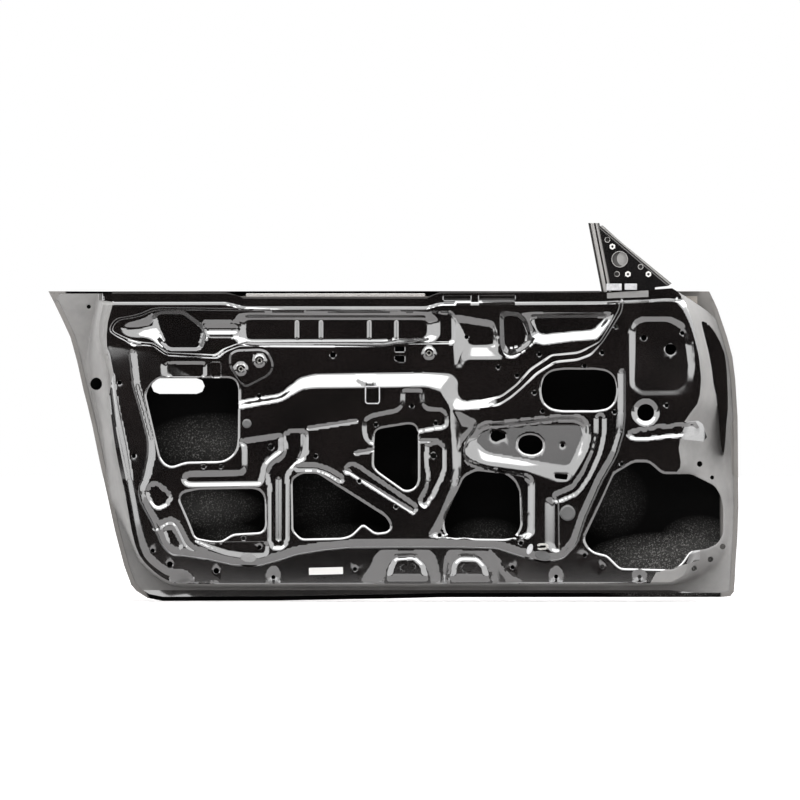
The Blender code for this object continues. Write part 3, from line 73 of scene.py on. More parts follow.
# How the folds are rounded, and the rolled lips of the openings
FILLET = 0.0030
ROLL_FILLET = 0.0100
SHARPEST_PART = 0.001
LIP_WIDTH = 0.0036
LIP_DEPTH = 0.0022
COLLAR_WIDTH = 0.0120
COLLAR_DEPTH = 0.0060
SMALL_LIP_WIDTH = 0.0014
SMALL_LIP_DEPTH = 0.0004

# Level terraces: where each starts and ends across its slope and how far down it lies, as shares
SEAL_TERRACE = (0.46, 0.60, 0.93)
SHOULDER_TERRACE = (0.25, 0.76, 0.50)
BASIN_TERRACE = (0.28, 0.72, 0.50)
NECK_TERRACE = (0.24, 0.60, 0.44)

# Where each terrace fades out along the door: middle and length of the fade, and the kept side, front 1
SEAL_TERRACE_LIMIT = (-0.400, 0.100, -1)
SHOULDER_TERRACE_LIMIT = (0.180, 0.060, 1)
BASIN_TERRACE_LIMIT = (-0.270, 0.040, -1)
NECK_TERRACE_LIMIT = (-2.000, 0.100, 1)

# The seal terrace's share in its upper part, and the rows between which it changes
SEAL_TERRACE_TOP = 0.80
SEAL_TERRACE_ROWS = (480, 390)

# Lines drawn for a terrace: the share of the slope that its bends take, and the row that they stop at
TERRACE_BEND = 0.10
TERRACE_TOP_ROW = 300

# Outer skin: fullest at the crown, falling away to the ends, the belt and the foot
SKIN_APEX_Y = 0.064
SKIN_END_FALL = 0.016
SKIN_BELT_FALL = 0.018
SKIN_FOOT_FALL = 0.014
SKIN_TUCK_FALL = 0.014
CROWN_SHARE = 0.55
TUCK_SHARE = 0.34
LONGEST_EDGE = 0.058

# Depths of the inner panel's faces
LOWER_FIELD_Y = -0.052
UPPER_FIELD_Y = -0.040
BELT_BAND_Y = -0.030
REAR_POCKET_Y = -0.019
BASIN_Y = -0.034
CHANNEL_Y = -0.024
NECK_Y = -0.027
FRONT_POCKET_Y = -0.018
FRONT_SHELF_Y = -0.029
STEP_POCKET_Y = -0.032
BRACKET_PAD_Y = -0.050
HUMP_Y = -0.040
DRAIN_TAB_Y = -0.047
HINGE_LAND_Y = 0.008

# Depths pressed into whatever face carries them, or raised from it
SHALLOW_DEPTH = 0.0025
STRAP_DEPTH = 0.0030
BEAD_DEPTH = 0.0045
GROOVE_DEPTH = 0.0055
FIELD_STEP_DEPTH = 0.009
FINE_BEAD_DEPTH = 0.0016
RIB_HEIGHT = 0.0009
BOSS_HEIGHT = 0.0025

# Floors that lean: depth at the foot, depth at the top, and the rows of these
ARMREST_LEAN = (0.0048, 0.0140, 468, 424)
WINDER_PANEL_LEAN = (0.0008, 0.0050, 396, 345)

# Widths of the slopes between rim and floor
STEEP_FLANK = 0.0045
NARROW_FLANK = STEEP_FLANK / 2
BEAD_FLANK = 0.0060
WIDE_FLANK = 0.0090

# Half widths at rim and floor of what is pressed along a line, and how far the groove's floor leans
GROOVE_RIM_HALF = 0.0080
GROOVE_FLOOR_HALF = 0.0014
GROOVE_LEAN = 0.0030
NECK_RIM_HALF = 0.0180
NECK_FLOOR_HALF = 0.0036
SIDE_STRAP_HALF = 0.0110
SIDE_STRAP_FLOOR_HALF = SIDE_STRAP_HALF / 2
ARC_HALF = 0.0085
ARC_FLOOR_HALF = ARC_HALF / 3
RIB_HALF = 0.0026
RIB_TOP_HALF = RIB_HALF / 4
FINE_BEAD_HALF = 0.0034
FINE_BEAD_FLOOR_HALF = FINE_BEAD_HALF / 6
SLOT_BEAD_FLOOR_HALF = BEAD_FLANK / 6

# Holes, and how many sides each kind is drawn with
SMALL_HOLE_RADIUS = 0.0042
CLIP_HOLE_RADIUS = 0.0058
LATCH_HOLE_RADIUS = 0.0125
REGULATOR_HOLE_RADIUS = 0.0110
HARNESS_HOLE_RADIUS = 0.0170
SMALL_HOLE_SIDES = 16
CLIP_HOLE_SIDES = 18
BOSS_HOLE_SIDES = 18
BOSS_SIDES = 24
PLUG_HOLE_SIDES = 24
LARGE_HOLE_SIDES = 32
HARNESS_HOLE_SIDES = 40

# Edges of the skin, clockwise from its upper rear tip
SKIN_BELT_PIXELS = (
    (47.6, 291), (56, 291), (104, 291.2), (112, 291.2), (400, 290.8), (650, 291), (700, 291), (710, 291.2),
)
SKIN_FRONT_PIXELS = (
    (714.3, 300), (718.4, 309), (728, 337), (733.4, 357), (736.2, 379), (738.6, 417), (739, 450),
    (739.2, 483), (739.4, 508), (738.2, 539.5), (736.6, 560), (735.6, 580), (734.6, 592), (731, 596.6),
)
SKIN_FOOT_PIXELS = ((722, 597.4), (600, 597.6), (440, 597.8), (400, 598.8), (280, 601), (162, 601.4))
SKIN_REAR_PIXELS = (
    (147, 598.4), (136, 591.5), (130.6, 585.5), (123.4, 566), (114.4, 532), (107.4, 500), (98.3, 459.6),
    (91.2, 425), (86.2, 404), (82.9, 391.6), (76.4, 362), (69.6, 337), (61.4, 319), (53.2, 302),
)

# Edge of the inner panel where it leaves the hem: along the belt, and at the notch in its front edge
PANEL_BELT_PIXELS = (
    (59, 293.4), (97, 293.4), (110, 293.6), (226, 293.8), (237, 295.4), (244, 298.6), (427, 298.6),
    (433, 295.6), (440, 293.4), (600, 292.4), (625, 290.8), (655, 289.4), (672, 288.2), (690, 299),
    (707.5, 310.5), (717.5, 319.5), (722.6, 331),
)
PANEL_NOTCH_PIXELS = ((737.6, 417), (732.2, 425), (731.6, 446), (732.4, 472), (738.2, 483))

# Foot of the panel's side walls, and the line where they roll into the web
WALL_FOOT_PIXELS = (
    (97, 270), (97, 294), (91, 322), (88.7, 334), (85.6, 358), (86.8, 376), (90.4, 393), (94.6, 412),
    (98.4, 428), (103, 460), (108.5, 500), (118, 520), (130, 543), (138.4, 562), (150, 574), (158.5, 579.5),
    (168, 585), (180, 588.2), (280, 588.4), (440, 588), (600, 587.4), (671, 585.6), (702, 580), (720, 568),
    (730, 553), (732.8, 539.5), (733.8, 508), (732.4, 486), (727.4, 472), (726.6, 446), (727.2, 425),
    (730.4, 410), (731, 396), (730, 379), (727, 357), (722, 338), (718, 322), (711, 306), (700, 292),
    (690, 270),
)
WEB_EDGE_PIXELS = (
    (116, 274), (114, 302), (107.6, 324), (107.4, 338), (113.6, 372), (116.8, 395), (120.4, 415),
    (124, 430), (128.2, 450), (130.8, 465), (134.6, 490), (139.8, 520), (142.8, 533), (146.4, 545),
    (151.5, 555), (157, 561.5), (164, 566.5), (172, 569.8), (184, 571), (190, 572.4), (192.8, 576),
    (193, 582), (200, 583), (350, 582.6), (520, 582), (671, 582), (684, 575), (690, 551), (686, 500),
    (675, 473), (680.7, 466), (678.4, 448), (679.4, 437), (686, 419.5), (693, 409.6), (699, 400),
    (700.8, 379), (698.6, 357), (694, 334.6), (688.8, 320), (682.5, 308), (675, 301), (668, 290),
    (664, 274),
)

# The gutter that the door seal lies in, along the rear end wall: its outer and its inner edge
GUTTER_OUTER_PIXELS = (
    (98, 262), (104, 302), (99.5, 322), (99, 336), (102, 352), (106, 366), (107.8, 376), (109.2, 395),
    (111, 415), (113, 430), (116, 450), (119, 465), (124.5, 490), (127, 503), (130, 520), (132.4, 533),
    (135.5, 545), (139.6, 555), (145, 562.5), (151, 568.5), (158, 574.5), (166, 579.5), (172, 582),
    (181, 582.6),
)
GUTTER_INNER_PIXELS = (
    (100, 262), (105.5, 302), (101, 322), (100.5, 336), (103.4, 352), (107.2, 366), (109.4, 376),
    (112, 395), (115, 415), (117.4, 430), (121, 450), (124, 465), (129, 490), (131.6, 503), (134.6, 520),
    (137.3, 533), (140.3, 545), (144.6, 555), (150, 561.5), (157, 567), (164, 572), (170, 575),
    (181, 575.4),
)
GUTTER_CLOSING_PIXELS = ((400, 575), (400, 262))

# Borders of the bare grey primer: flange and rear end wall, front wall, and a worn strip of the belt
PRIMER_REAR_PIXELS = (
    (30, 270), (97.6, 270), (98.5, 300), (113.5, 302), (108, 322), (106.8, 335), (107.2, 350), (111.8, 364),
    (113.4, 372), (112, 380),
) + GUTTER_OUTER_PIXELS[7:-1] + (
    (174, 583), (200, 583.8), (400, 583.6), (650, 583.2), (656, 572), (673, 571), (671, 590.6), (30, 590.6),
)
PRIMER_FRONT_PIXELS = (
    (675, 288), (681, 296), (685.4, 303.4), (688.4, 310), (691.6, 320), (695.5, 334.6), (699, 357),
    (701, 379), (699.6, 395), (697, 404), (690, 413), (684, 422), (698, 420.6), (703, 424), (707.4, 437),
    (704, 441.6), (680.4, 439), (678.4, 448), (680.6, 462), (679, 474), (700, 500), (700, 560), (660, 571),
    (655, 583), (670, 590.6), (760, 600), (760, 280), (690, 287),
)
PRIMER_BELT_PIXELS = ((607, 293), (625, 291.6), (648.4, 290.4), (648.4, 297), (607, 298.4))
PRIMER_BORDERS = (PRIMER_REAR_PIXELS, PRIMER_FRONT_PIXELS, PRIMER_BELT_PIXELS)

# The deeper upper field, whose slope is the shoulder, and the belt band along its top
UPPER_FIELD_RIM_PIXELS = (
    (60, 486), (150, 480), (238, 409), (281, 401), (302, 389), (316, 388), (400, 387.4), (426, 386.6),
    (440, 391), (447, 402), (452, 411), (499, 406), (511.6, 398), (525, 386.4), (538, 374), (556, 363),
    (577, 361), (591, 356), (603, 342), (622, 312), (628, 262), (60, 262),
)
UPPER_FIELD_FLOOR_PIXELS = (
    (66, 340), (150, 350), (238, 401), (280, 394.5), (300, 378), (316, 374), (420, 372.6), (452, 373.6),
    (458, 380), (457, 394), (463, 402), (480, 400), (501, 395.4), (516, 384), (529.5, 368.6), (551, 354.3),
    (578, 351.6), (586, 348), (600, 341), (618.5, 309), (622, 268), (66, 268),
)
BELT_BAND_RIM_PIXELS = (
    (60, 305), (226, 305), (243, 309.6), (427, 309.6), (440, 305.6), (600, 304.6), (640, 303), (668, 301.4),
    (684, 303), (700, 303), (700, 264), (60, 264),
)
BELT_BAND_FLOOR_PIXELS = (
    (64, 302), (226.6, 302), (243.8, 306.4), (426.4, 306.4), (439.4, 302.4), (600, 301.4), (640, 299.8),
    (668, 298.2), (684, 299.6), (696, 299.6), (696, 266), (64, 266),
)

# Pockets, lands and panels whose floor line isn't even with its rim
BASIN_RIM_PIXELS = (
    (108.6, 331), (111, 323), (117.6, 317.4), (129, 316), (142, 312.6), (151, 308.4), (160, 307),
    (450, 311), (455.6, 314), (455.6, 344), (396, 344.4), (384.5, 347), (262, 346.6), (240, 346.6),
    (226, 352), (219, 358.8), (207, 358.4), (165, 356), (152, 346.4), (141, 345.6), (133, 347),
    (126, 341.6), (116, 336.6),
)
BASIN_FLOOR_PIXELS = (
    (112.6, 330.6), (114.6, 325), (119.6, 320.4), (130, 319), (143.6, 315.6), (152, 311.4), (161, 310.2),
    (449, 313.6), (452.6, 316), (452.6, 341.4), (396, 341.6), (384, 344), (262, 343), (238, 343),
    (222, 349), (216, 354.4), (207, 354), (168, 352.6), (155, 343), (140, 341.6), (128, 338.4),
    (118, 333.8),
)
REAR_POCKET_RIM_PIXELS = (
    (119, 327), (124, 322.4), (132, 320.6), (143, 318.6), (156, 312.6), (162, 310.8), (184, 310.8),
    (190, 314.6), (204, 325.4), (210, 333), (201, 351), (168, 351), (150, 338), (128, 337), (121, 333),
)
REAR_POCKET_FLOOR_PIXELS = (
    (155.6, 317), (160, 314.2), (183, 314.2), (198, 325.6), (202.6, 331), (198.6, 347.4), (169.4, 347.4),
    (165.4, 343.4),
)
CHANNEL_RIM_PIXELS = (
    (232, 320), (238, 313), (432, 313), (440, 319), (440, 337), (434, 341.6), (397, 342.6), (385, 345.4),
    (242, 345.6), (232, 338),
)
CHANNEL_FLOOR_PIXELS = (
    (246, 321), (249, 319), (424, 319.4), (427, 322), (427, 336), (425, 338), (396, 338.6), (384, 340.4),
    (249, 340.6), (246, 338),
)
STEP_POCKET_RIM_PIXELS = (
    (453.6, 314), (494, 321.4), (497, 330), (499, 345), (505.6, 359.6), (467, 359.6), (463, 369),
    (453, 369),
)
STEP_POCKET_FLOOR_PIXELS = ((457, 322), (492.6, 327), (495, 344.6), (470, 345), (466, 336), (462, 329))
FRONT_POCKET_RIM_PIXELS = (
    (499.5, 314), (503, 310.6), (520, 312.6), (530, 320), (537.6, 331), (538, 338), (531, 346),
    (520, 354.6), (511, 359), (504, 355), (500, 345),
)
FRONT_POCKET_FLOOR_PIXELS = (
    (503.6, 318), (507, 315.6), (518.6, 316.4), (523, 323), (526.6, 334), (526.6, 340.4), (519, 346.4),
    (509, 348), (504.6, 345),
)
FRONT_SHELF_RIM_PIXELS = (
    (520, 312.6), (526, 312.6), (614, 312.2), (611, 320), (598, 339), (570, 341), (542, 345), (531, 340.5),
)
FRONT_SHELF_FLOOR_PIXELS = ((531.6, 318.2), (606, 317.4), (593, 330.4), (582, 331), (543, 334.6), (539, 333))
ARMREST_RIM_PIXELS = (
    (463, 451), (467, 436), (474, 427), (485, 421.6), (507, 420.6), (558, 415), (579, 414.5), (588.6, 421),
    (590.5, 437), (588, 450), (573, 479), (567, 482.4), (556, 483), (525, 471), (489, 466), (470, 460.6),
)
ARMREST_FLOOR_PIXELS = (
    (475, 442), (481, 431.6), (489, 428), (510, 427), (558, 421.6), (575, 421.4), (581.6, 426), (583, 437),
    (573, 460), (568, 466.6), (540, 462.6), (486, 453),
)
WINDER_PANEL_RIM_PIXELS = (
    (629, 388), (629, 328), (633, 320), (641, 316.5), (671, 316.5), (686, 323), (693, 340), (696, 366),
    (694, 390), (684, 398), (640, 398),
)
WINDER_PANEL_FLOOR_PIXELS = (
    (634.5, 384), (634.5, 330), (638, 324.4), (644, 321.8), (668, 321.8), (678, 328), (685, 343),
    (687, 366), (684, 384), (676, 390), (641, 390.6),
)
HUMP_REAR_RIM_PIXELS = (
    (362, 596), (362.6, 578), (371, 567.6), (375, 556), (382, 550.6), (428, 550.4), (435, 556), (438, 568),
    (440, 580), (440, 596),
)
HUMP_REAR_FLOOR_PIXELS = (
    (384, 592), (384, 578), (386.6, 566), (394, 557), (416, 556.6), (426, 563.6), (431, 575), (431, 592),
)
HUMP_FRONT_RIM_PIXELS = (
    (443.4, 596), (443.4, 574), (445, 557), (450, 550.6), (488, 550.6), (498, 556), (502.5, 569),
    (511.4, 577.6), (522, 581), (522, 596),
)
HUMP_FRONT_FLOOR_PIXELS = (
    (449.6, 592), (449.6, 574), (452.6, 561), (460, 556.6), (479, 557), (488, 566), (493, 577), (493, 592),
)
ACCESS_LAND_RIM_PIXELS = (
    (190, 538), (208, 549), (226, 555.6), (246, 559), (268, 558.6), (268.6, 541), (232, 541), (212, 542),
)
ACCESS_LAND_FLOOR_PIXELS = (
    (194, 539), (212, 545), (228, 550), (247, 552.4), (266, 552.6), (266.6, 542), (232, 542), (212, 543),
)
LOCK_LAND_RIM_PIXELS = ((160, 361.6), (206.4, 361.6), (206.4, 378), (160.6, 378))
LOCK_LAND_FLOOR_PIXELS = ((167, 363.6), (204.8, 363.6), (204.8, 376.4), (168.6, 376.4))
POST_LAND_RIM_PIXELS = ((544.6, 497.6), (559, 497.6), (560, 553), (551, 552), (544.6, 547))
POST_LAND_FLOOR_PIXELS = ((554.6, 499.4), (557.6, 499.4), (558.4, 550), (554.6, 548.6))
FIELD_STEP_RIM_PIXELS = (
    (448.6, 403), (452, 405), (478, 422.4), (475.4, 431), (467.6, 440), (464.6, 450), (467, 459),
    (489, 467.4), (524, 473.6), (534, 478), (534, 534), (528, 538.6), (440, 538), (427.6, 537), (438, 519),
    (450, 490), (453, 470), (452.6, 446), (450, 425),
)
FIELD_STEP_FLOOR_PIXELS = (
    (475.8, 424.4), (472, 430.6), (463.4, 440), (460.4, 450), (460.4, 466), (459.6, 477), (456.4, 491),
    (445, 519), (437, 534.6), (524, 535), (528, 531.6), (528.6, 482), (523, 477), (488, 470.6),
    (465.4, 463.6), (462.6, 450), (465.8, 440), (473.8, 431), (476.8, 425.4),
)

# Lands, pads, straps and beads with an even flank
HINGE_LAND_RIM_PIXELS = (
    (701, 321), (706, 321.6), (711, 325.5), (716, 332), (721, 341), (726, 354), (728, 370), (729, 395),
    (729, 410), (727.4, 425), (726.6, 440), (725.4, 452), (723.5, 457.5), (721.4, 450), (720, 440),
    (719, 425), (718, 410), (716, 395), (713.6, 385), (711.6, 368), (708.6, 352), (704.6, 336),
)
BRACKET_PAD_PIXELS = (
    (229, 354), (236, 349.4), (261, 348.6), (268, 351), (273.4, 361), (273.8, 369), (269, 376), (246, 388),
    (241, 384), (234, 374.5), (229, 366),
)
REAR_STRAP_PIXELS = (
    (181, 479), (184, 473.6), (190, 471.6), (241, 470.6), (242.6, 468), (242.6, 447), (237.6, 439.6),
    (283, 433), (283.6, 452), (272, 460.4), (266.4, 466.4), (265, 476), (262, 486), (190, 487), (184, 485),
)
LOOP_STRAP_PIXELS = (
    (282.6, 434), (288, 430), (306, 429.6), (308.8, 434), (308.6, 452), (304, 461), (297, 464), (290, 472),
    (288.8, 481), (288.6, 541), (284, 549.4), (272, 549.4), (268.4, 543), (268.4, 487), (265.6, 477),
    (267, 467.6), (272.6, 461.4), (283, 454.4), (284.6, 449),
)
CATCH_STRAP_PIXELS = (
    (401.6, 389), (401, 405), (396.6, 409), (370, 414.6), (363.6, 419), (362.6, 428), (364, 438),
    (370, 445), (380, 446), (380, 436), (419, 436), (419, 432.6), (445, 428.6), (448.8, 424), (448, 413.6),
    (442.6, 408), (428, 407.6), (424, 404), (423, 389),
)
KIDNEY_PIXELS = (
    (145.4, 492), (147.4, 485.6), (153.6, 481.4), (160, 484), (169.6, 490.6), (172.8, 498), (169, 505.4),
    (160, 509.6), (153.6, 508), (148, 500),
)
SLOT_LAND_PIXELS = (
    (163, 530), (166.6, 526), (173.6, 525.6), (178.8, 534), (183.4, 543.6), (181.4, 550.6), (174, 552.4),
    (169, 547),
)
LOCK_BLOCK_PIXELS = ((209, 361.4), (222, 361.4), (222, 378.4), (210.6, 378.4))
ARCH_REAR_PIXELS = ((387, 580), (389, 566), (395, 556), (415, 555), (425.4, 564.6), (427.6, 580))
ARCH_FRONT_PIXELS = ((450, 580), (452.6, 562), (460.6, 556), (478, 557), (486.6, 566), (488.6, 580))
LEDGE_PAD_PIXELS = ((355, 375), (377, 375), (377, 385.6), (364, 385.6), (355, 380.6))
HUMP_SLOT_REAR_PIXELS = ((398.6, 567.6), (402, 564), (413.6, 563), (416.8, 566), (414.6, 570.6), (403, 572))
HUMP_SLOT_FRONT_PIXELS = ((459.6, 568), (463, 563.4), (474, 561.6), (479, 565), (474, 571), (464, 573.4))
LOCK_BEAD_PIXELS = (
    (626, 435), (630, 430), (656, 425.4), (677, 423.6), (696, 423), (700, 428.4), (697, 434.6),
    (680.7, 436.8), (660, 438.4), (651, 440), (631, 440),
)
POST_BEAD_PIXELS = (
    (424.6, 443), (440, 440), (445.4, 446), (445.4, 471), (441.6, 482), (433, 498), (425, 510),
    (417, 502.6), (424.4, 489), (426.4, 479),
)
SLOPE_BEAD_PIXELS = (
    (343.4, 471), (345, 465.6), (350, 462.6), (356, 463), (416.6, 504.6), (418, 509.6), (415, 513.4),
    (410, 512), (349, 472.6), (345.6, 474.6),
)
DRAIN_TAB_PIXELS = (273.5, 556, 639.3)
DRAIN_TAB_RIM_SHARES = ((-1, 596), (-1, 574), (-0.5, 567.4), (0.5, 567.4), (1, 574), (1, 596))
DRAIN_TAB_HALF_PIXELS = 6.5

# Middle lines of the neck between two pockets, and of the ribs, beads and straps
NECK_PIXELS = ((204, 329.2), (236, 329.2))
CHANNEL_RIB_COLUMNS = (297, 321, 369.5, 396.5)
CHANNEL_RIB_ROWS = (321, 338.6)
ARC_BEAD_PIXELS = ((297, 467.4), (316, 467.4), (329, 472), (341, 479.4))
SIDE_STRAP_PIXELS = ((600, 417), (600, 433), (596, 452), (586, 474), (575, 490), (556, 498))
SLOT_BEAD_PIXELS = (
    (157, 528), (163, 524), (169, 520.6), (175.4, 522), (180.4, 531), (186, 543), (193, 549.6),
    (207, 552.4),
)
FINE_BEAD_PIXELS = (
    ((308, 428.6), (357, 421)),
    ((278.6, 478), (278.6, 540)),
    ((303, 433), (303, 449), (299, 459)),
    ((355, 453.4), (374, 450)),
    ((419.6, 441), (438, 441.4)),
    ((346, 470), (414, 513)),
)

# The carrier groove, one channel from the upper rear round below the openings to the upper front
CARRIER_GROOVE_PIXELS = (
    (132, 352), (136, 387), (143, 410), (150.6, 440), (150.6, 456), (146, 477), (141, 488.6), (143, 500),
    (157, 526), (164, 543), (172, 551.4), (207, 556), (233, 562), (258, 563), (280, 557), (296, 551.6),
    (324, 547), (350, 544.6), (400, 544.2), (460, 544.2), (497, 545.4), (519, 552.6), (544, 559),
    (562, 556), (574, 543), (582.5, 517), (598.6, 481), (613.8, 454.6), (620.6, 432), (622, 410),
    (622, 372),
)

# Openings and holes cut through the web
CUTOUT_PIXELS = {
    "latch_access": (
        (146, 395), (150, 385.6), (158.8, 378), (230.5, 378), (236, 381), (238.6, 388), (238, 438.6),
        (236.8, 448.4), (231.4, 456.4), (222.5, 461), (186, 461.8), (171.8, 466.6), (165, 463.5),
        (160.4, 457), (155.7, 436.8),
    ),
    "regulator_access_rear": (
        (179.6, 499), (183, 493), (199, 489.5), (254.6, 488.6), (261.8, 492), (265, 499), (265.4, 526),
        (262, 532), (233, 533.7), (221.6, 541), (212.7, 541), (195.7, 537.7), (189.5, 521.6),
    ),
    "regulator_access_middle": (
        (292.5, 479.6), (302, 473.4), (317.5, 473.4), (354, 496.6), (386, 517), (391, 526), (388, 531.4),
        (375.5, 533), (363, 523.4), (351.4, 535), (342.5, 537.7), (301.4, 538.6), (293.4, 530.5),
    ),
    "pull_access": (
        (374.6, 433), (379, 428.8), (410.4, 423.8), (416.6, 427), (418, 437), (418, 481.4), (414, 488.6),
        (405, 490.6), (377, 470.7), (373.8, 465.4),
    ),
    "regulator_access_front": (
        (446.4, 515), (453.6, 499), (464, 477), (476, 470.7), (505.4, 474), (515, 481.4), (519.6, 492),
        (520.5, 526), (516, 535), (507, 539), (473, 538.6), (464, 536), (455.4, 538.6), (446.4, 534),
        (443.8, 523.4),
    ),
    "speaker": (
        (584, 538.5), (588, 547), (594, 552), (607, 555), (620, 568), (673.5, 569.4), (681.6, 563),
        (689.8, 551), (707, 549), (718, 544), (723.6, 535), (724, 508), (721, 495), (715.5, 486),
        (691.4, 474), (662, 474), (648.6, 462.3), (633.4, 462.3), (613.8, 474), (600.4, 503.8),
    ),
    "winder": (
        (541.2, 386), (544, 377), (551, 371.4), (562, 369.6), (596, 369.6), (607, 371.4), (613.6, 377),
        (616.2, 386), (616.2, 394), (613.6, 403), (607, 408.6), (596, 410.4), (562, 410.4), (551, 408.6),
        (544, 403), (541.2, 394),
    ),
    "armrest_window": (
        (517.6, 443), (521, 436.6), (530, 434.4), (538.6, 436.4), (543.4, 443), (542, 450.6), (534, 454.8),
        (524, 453.4), (518.6, 449),
    ),
    "armrest_key": (
        (490, 436), (491.8, 431.8), (496, 430), (500.2, 431.8), (505.6, 434.4), (505.6, 438),
        (500.2, 440.2), (496, 442), (491.8, 440.2),
    ),
    "belt_slot_rear": ((443.6, 295.4), (470.6, 295.2), (470.6, 300.2), (443.6, 300.4)),
    "belt_slot_front": ((479, 295), (515, 294.6), (515, 299.8), (479, 300)),
    "key_slot_upper": ((394.8, 346.4), (404.6, 346.4), (404.6, 351.6), (394.8, 351.6)),
    "key_slot_lower": ((394.8, 355.6), (404.6, 355.6), (404.6, 362), (399, 362), (394.8, 359.6)),
    "armrest_slot": ((554, 474.4), (568, 474.8), (566.6, 479.8), (555, 478.4)),
}
SMALL_HOLE_PIXELS = (
    (119.8, 382.7), (134, 456), (153, 550.4), (243.7, 538), (259.6, 547), (203.8, 466.4), (221, 466.4),
    (259.3, 396), (412, 406), (376, 424.6), (315.7, 456), (359.5, 481), (396, 506.6), (435.7, 423),
    (439.6, 535), (520.8, 543), (466.5, 337), (498.2, 367), (517, 375.3), (534.2, 392.6), (542.5, 411),
    (539.2, 354.3), (584.5, 366), (602, 352.6), (615.9, 326.7), (614.4, 412), (621.6, 464), (584.5, 555),
    (602, 566.3), (512.4, 567), (355, 569), (682, 333), (666.4, 405.4), (712.8, 477.6), (273.5, 577),
    (556, 576.4), (639.3, 576.6), (562.4, 445.3), (88, 306.5),
)
CLIP_HOLE_PIXELS = (
    (170, 564), (216.5, 570.6), (271, 447), (332.9, 355), (433.4, 455.7), (643.7, 338), (694.4, 568.6),
    (711, 559.6), (723.4, 547), (700, 464),
)
REGULATOR_HOLE_PIXEL = (670.3, 349.4)
HARNESS_HOLE_PIXEL = (645.5, 412.5)
LATCH_HOLE_PIXEL = (95.6, 383.8)

# Threaded bosses with a captive nut behind the panel
BOSS_PIXELS = {"pad_rear": (241, 369), "pad_front": (259.6, 360.6), "pull": (429, 353)}
BOSS_FOOT_RADIUS = 0.0130
BOSS_TOP_RADIUS = 0.0090
BOSS_HOLE_RADIUS = 0.0052

# Holes of the blanking plugs
PLUG_PIXELS = {"rear": (247, 423.5), "front": (567.5, 513)}
PLUG_HOLE_RADII = {"rear": 0.0066, "front": 0.0130}


def place(pixels):
    """Places in metres (along the door, above its foot) of points read in the view's pixels."""
    pixels = np.asarray(pixels, float).reshape(-1, 2)
    along = (pixels[:, 0] - REAR_PIXEL) / (FRONT_PIXEL - REAR_PIXEL)
    above = (FOOT_PIXEL - pixels[:, 1]) / (FOOT_PIXEL - BELT_PIXEL)
    return np.stack([(along - 0.5) * DOOR_LENGTH, above * BELT_HEIGHT], axis=1)


def spot(pixel):
    return place([pixel])[0]


def height_of(row):
    return spot((0, row))[1]


def skin_y(points):
    """Depth of the skin's outer face at places given as (along, above)."""
    points = np.asarray(points, float).reshape(-1, 2)
    along = 2 * points[:, 0] / DOOR_LENGTH
    above = points[:, 1] / BELT_HEIGHT
    belt = np.clip((above - CROWN_SHARE) / (1 - CROWN_SHARE), 0, None)
    foot = np.clip((CROWN_SHARE - above) / CROWN_SHARE, 0, None)
    tuck = np.clip((TUCK_SHARE - above) / TUCK_SHARE, 0, None)
    fall = SKIN_END_FALL * along**2 + SKIN_BELT_FALL * belt**2
    fall += SKIN_FOOT_FALL * foot**2 + SKIN_TUCK_FALL * tuck**2
    return SKIN_APEX_Y - fall


def divided(line, longest, closed=False):
    """A line with points added, so that none of its steps is over the longest."""
    ends = np.roll(line, -1, axis=0) if closed else line[1:]
    starts = line if closed else line[:-1]
    points = []
    for start, end in zip(starts, ends):
        pieces = max(1, math.ceil(np.linalg.norm(end - start) / longest))
        points += [start + (end - start) * i / pieces for i in range(pieces)]
    if not closed:
        points.append(line[-1])
    return np.array(points)


def corner_curve(start, corner, end, shares):
    return [(1 - t) ** 2 * start + 2 * t * (1 - t) * corner + t**2 * end for t in shares]


def softened(outline, cut=CORNER_CUT):
    """A closed outline with each corner turned into a short curve."""
    points = []
    before = np.roll(outline, 1, axis=0)
    after = np.roll(outline, -1, axis=0)
    for last, corner, ahead in zip(before, outline, after):
        back = last - corner
        on = ahead - corner
        start = corner + back / np.linalg.norm(back) * min(cut, CORNER_SHARE * np.linalg.norm(back))
        end = corner + on / np.linalg.norm(on) * min(cut, CORNER_SHARE * np.linalg.norm(on))
        points += corner_curve(start, corner, end, OUTLINE_CURVE)
    return np.array(points)


def eased_path(path):
    """An open path with its corners turned into short curves."""
    points = [path[0]]
    for last, corner, ahead in zip(path, path[1:], path[2:]):
        back = last - corner
        on = ahead - corner
        start = corner + back * min(CORNER_SHARE, CORNER_CUT / np.linalg.norm(back))
        end = corner + on * min(CORNER_SHARE, CORNER_CUT / np.linalg.norm(on))
        points += corner_curve(start, corner, end, PATH_CURVE)
    points.append(path[-1])
    return np.array(points)


def area_of(outline):
    ends = np.roll(outline, -1, axis=0)
    return float(np.sum(outline[:, 0] * ends[:, 1] - ends[:, 0] * outline[:, 1])) / 2


def side_normals(line, closed):
    """At each point of a line, the step to its left that moves the line aside by 1."""
    if closed:
        before = line - np.roll(line, 1, axis=0)
        after = np.roll(line, -1, axis=0) - line
    else:
        steps = np.diff(line, axis=0)
        before = np.concatenate([steps[:1], steps])
        after = np.concatenate([steps, steps[-1:]])
    normals = []
    for first, second in zip(before, after):
        first = np.array([-first[1], first[0]]) / np.linalg.norm(first)
        second = np.array([-second[1], second[0]]) / np.linalg.norm(second)
        normals.append((first + second) / max(1 + first @ second, MITRE_LIMIT))
    return np.array(normals)


def inset(outline, distance):
    """A closed outline moved inwards by a distance."""
    turn = 1 if area_of(outline) > 0 else -1
    return outline + side_normals(outline, True) * distance * turn


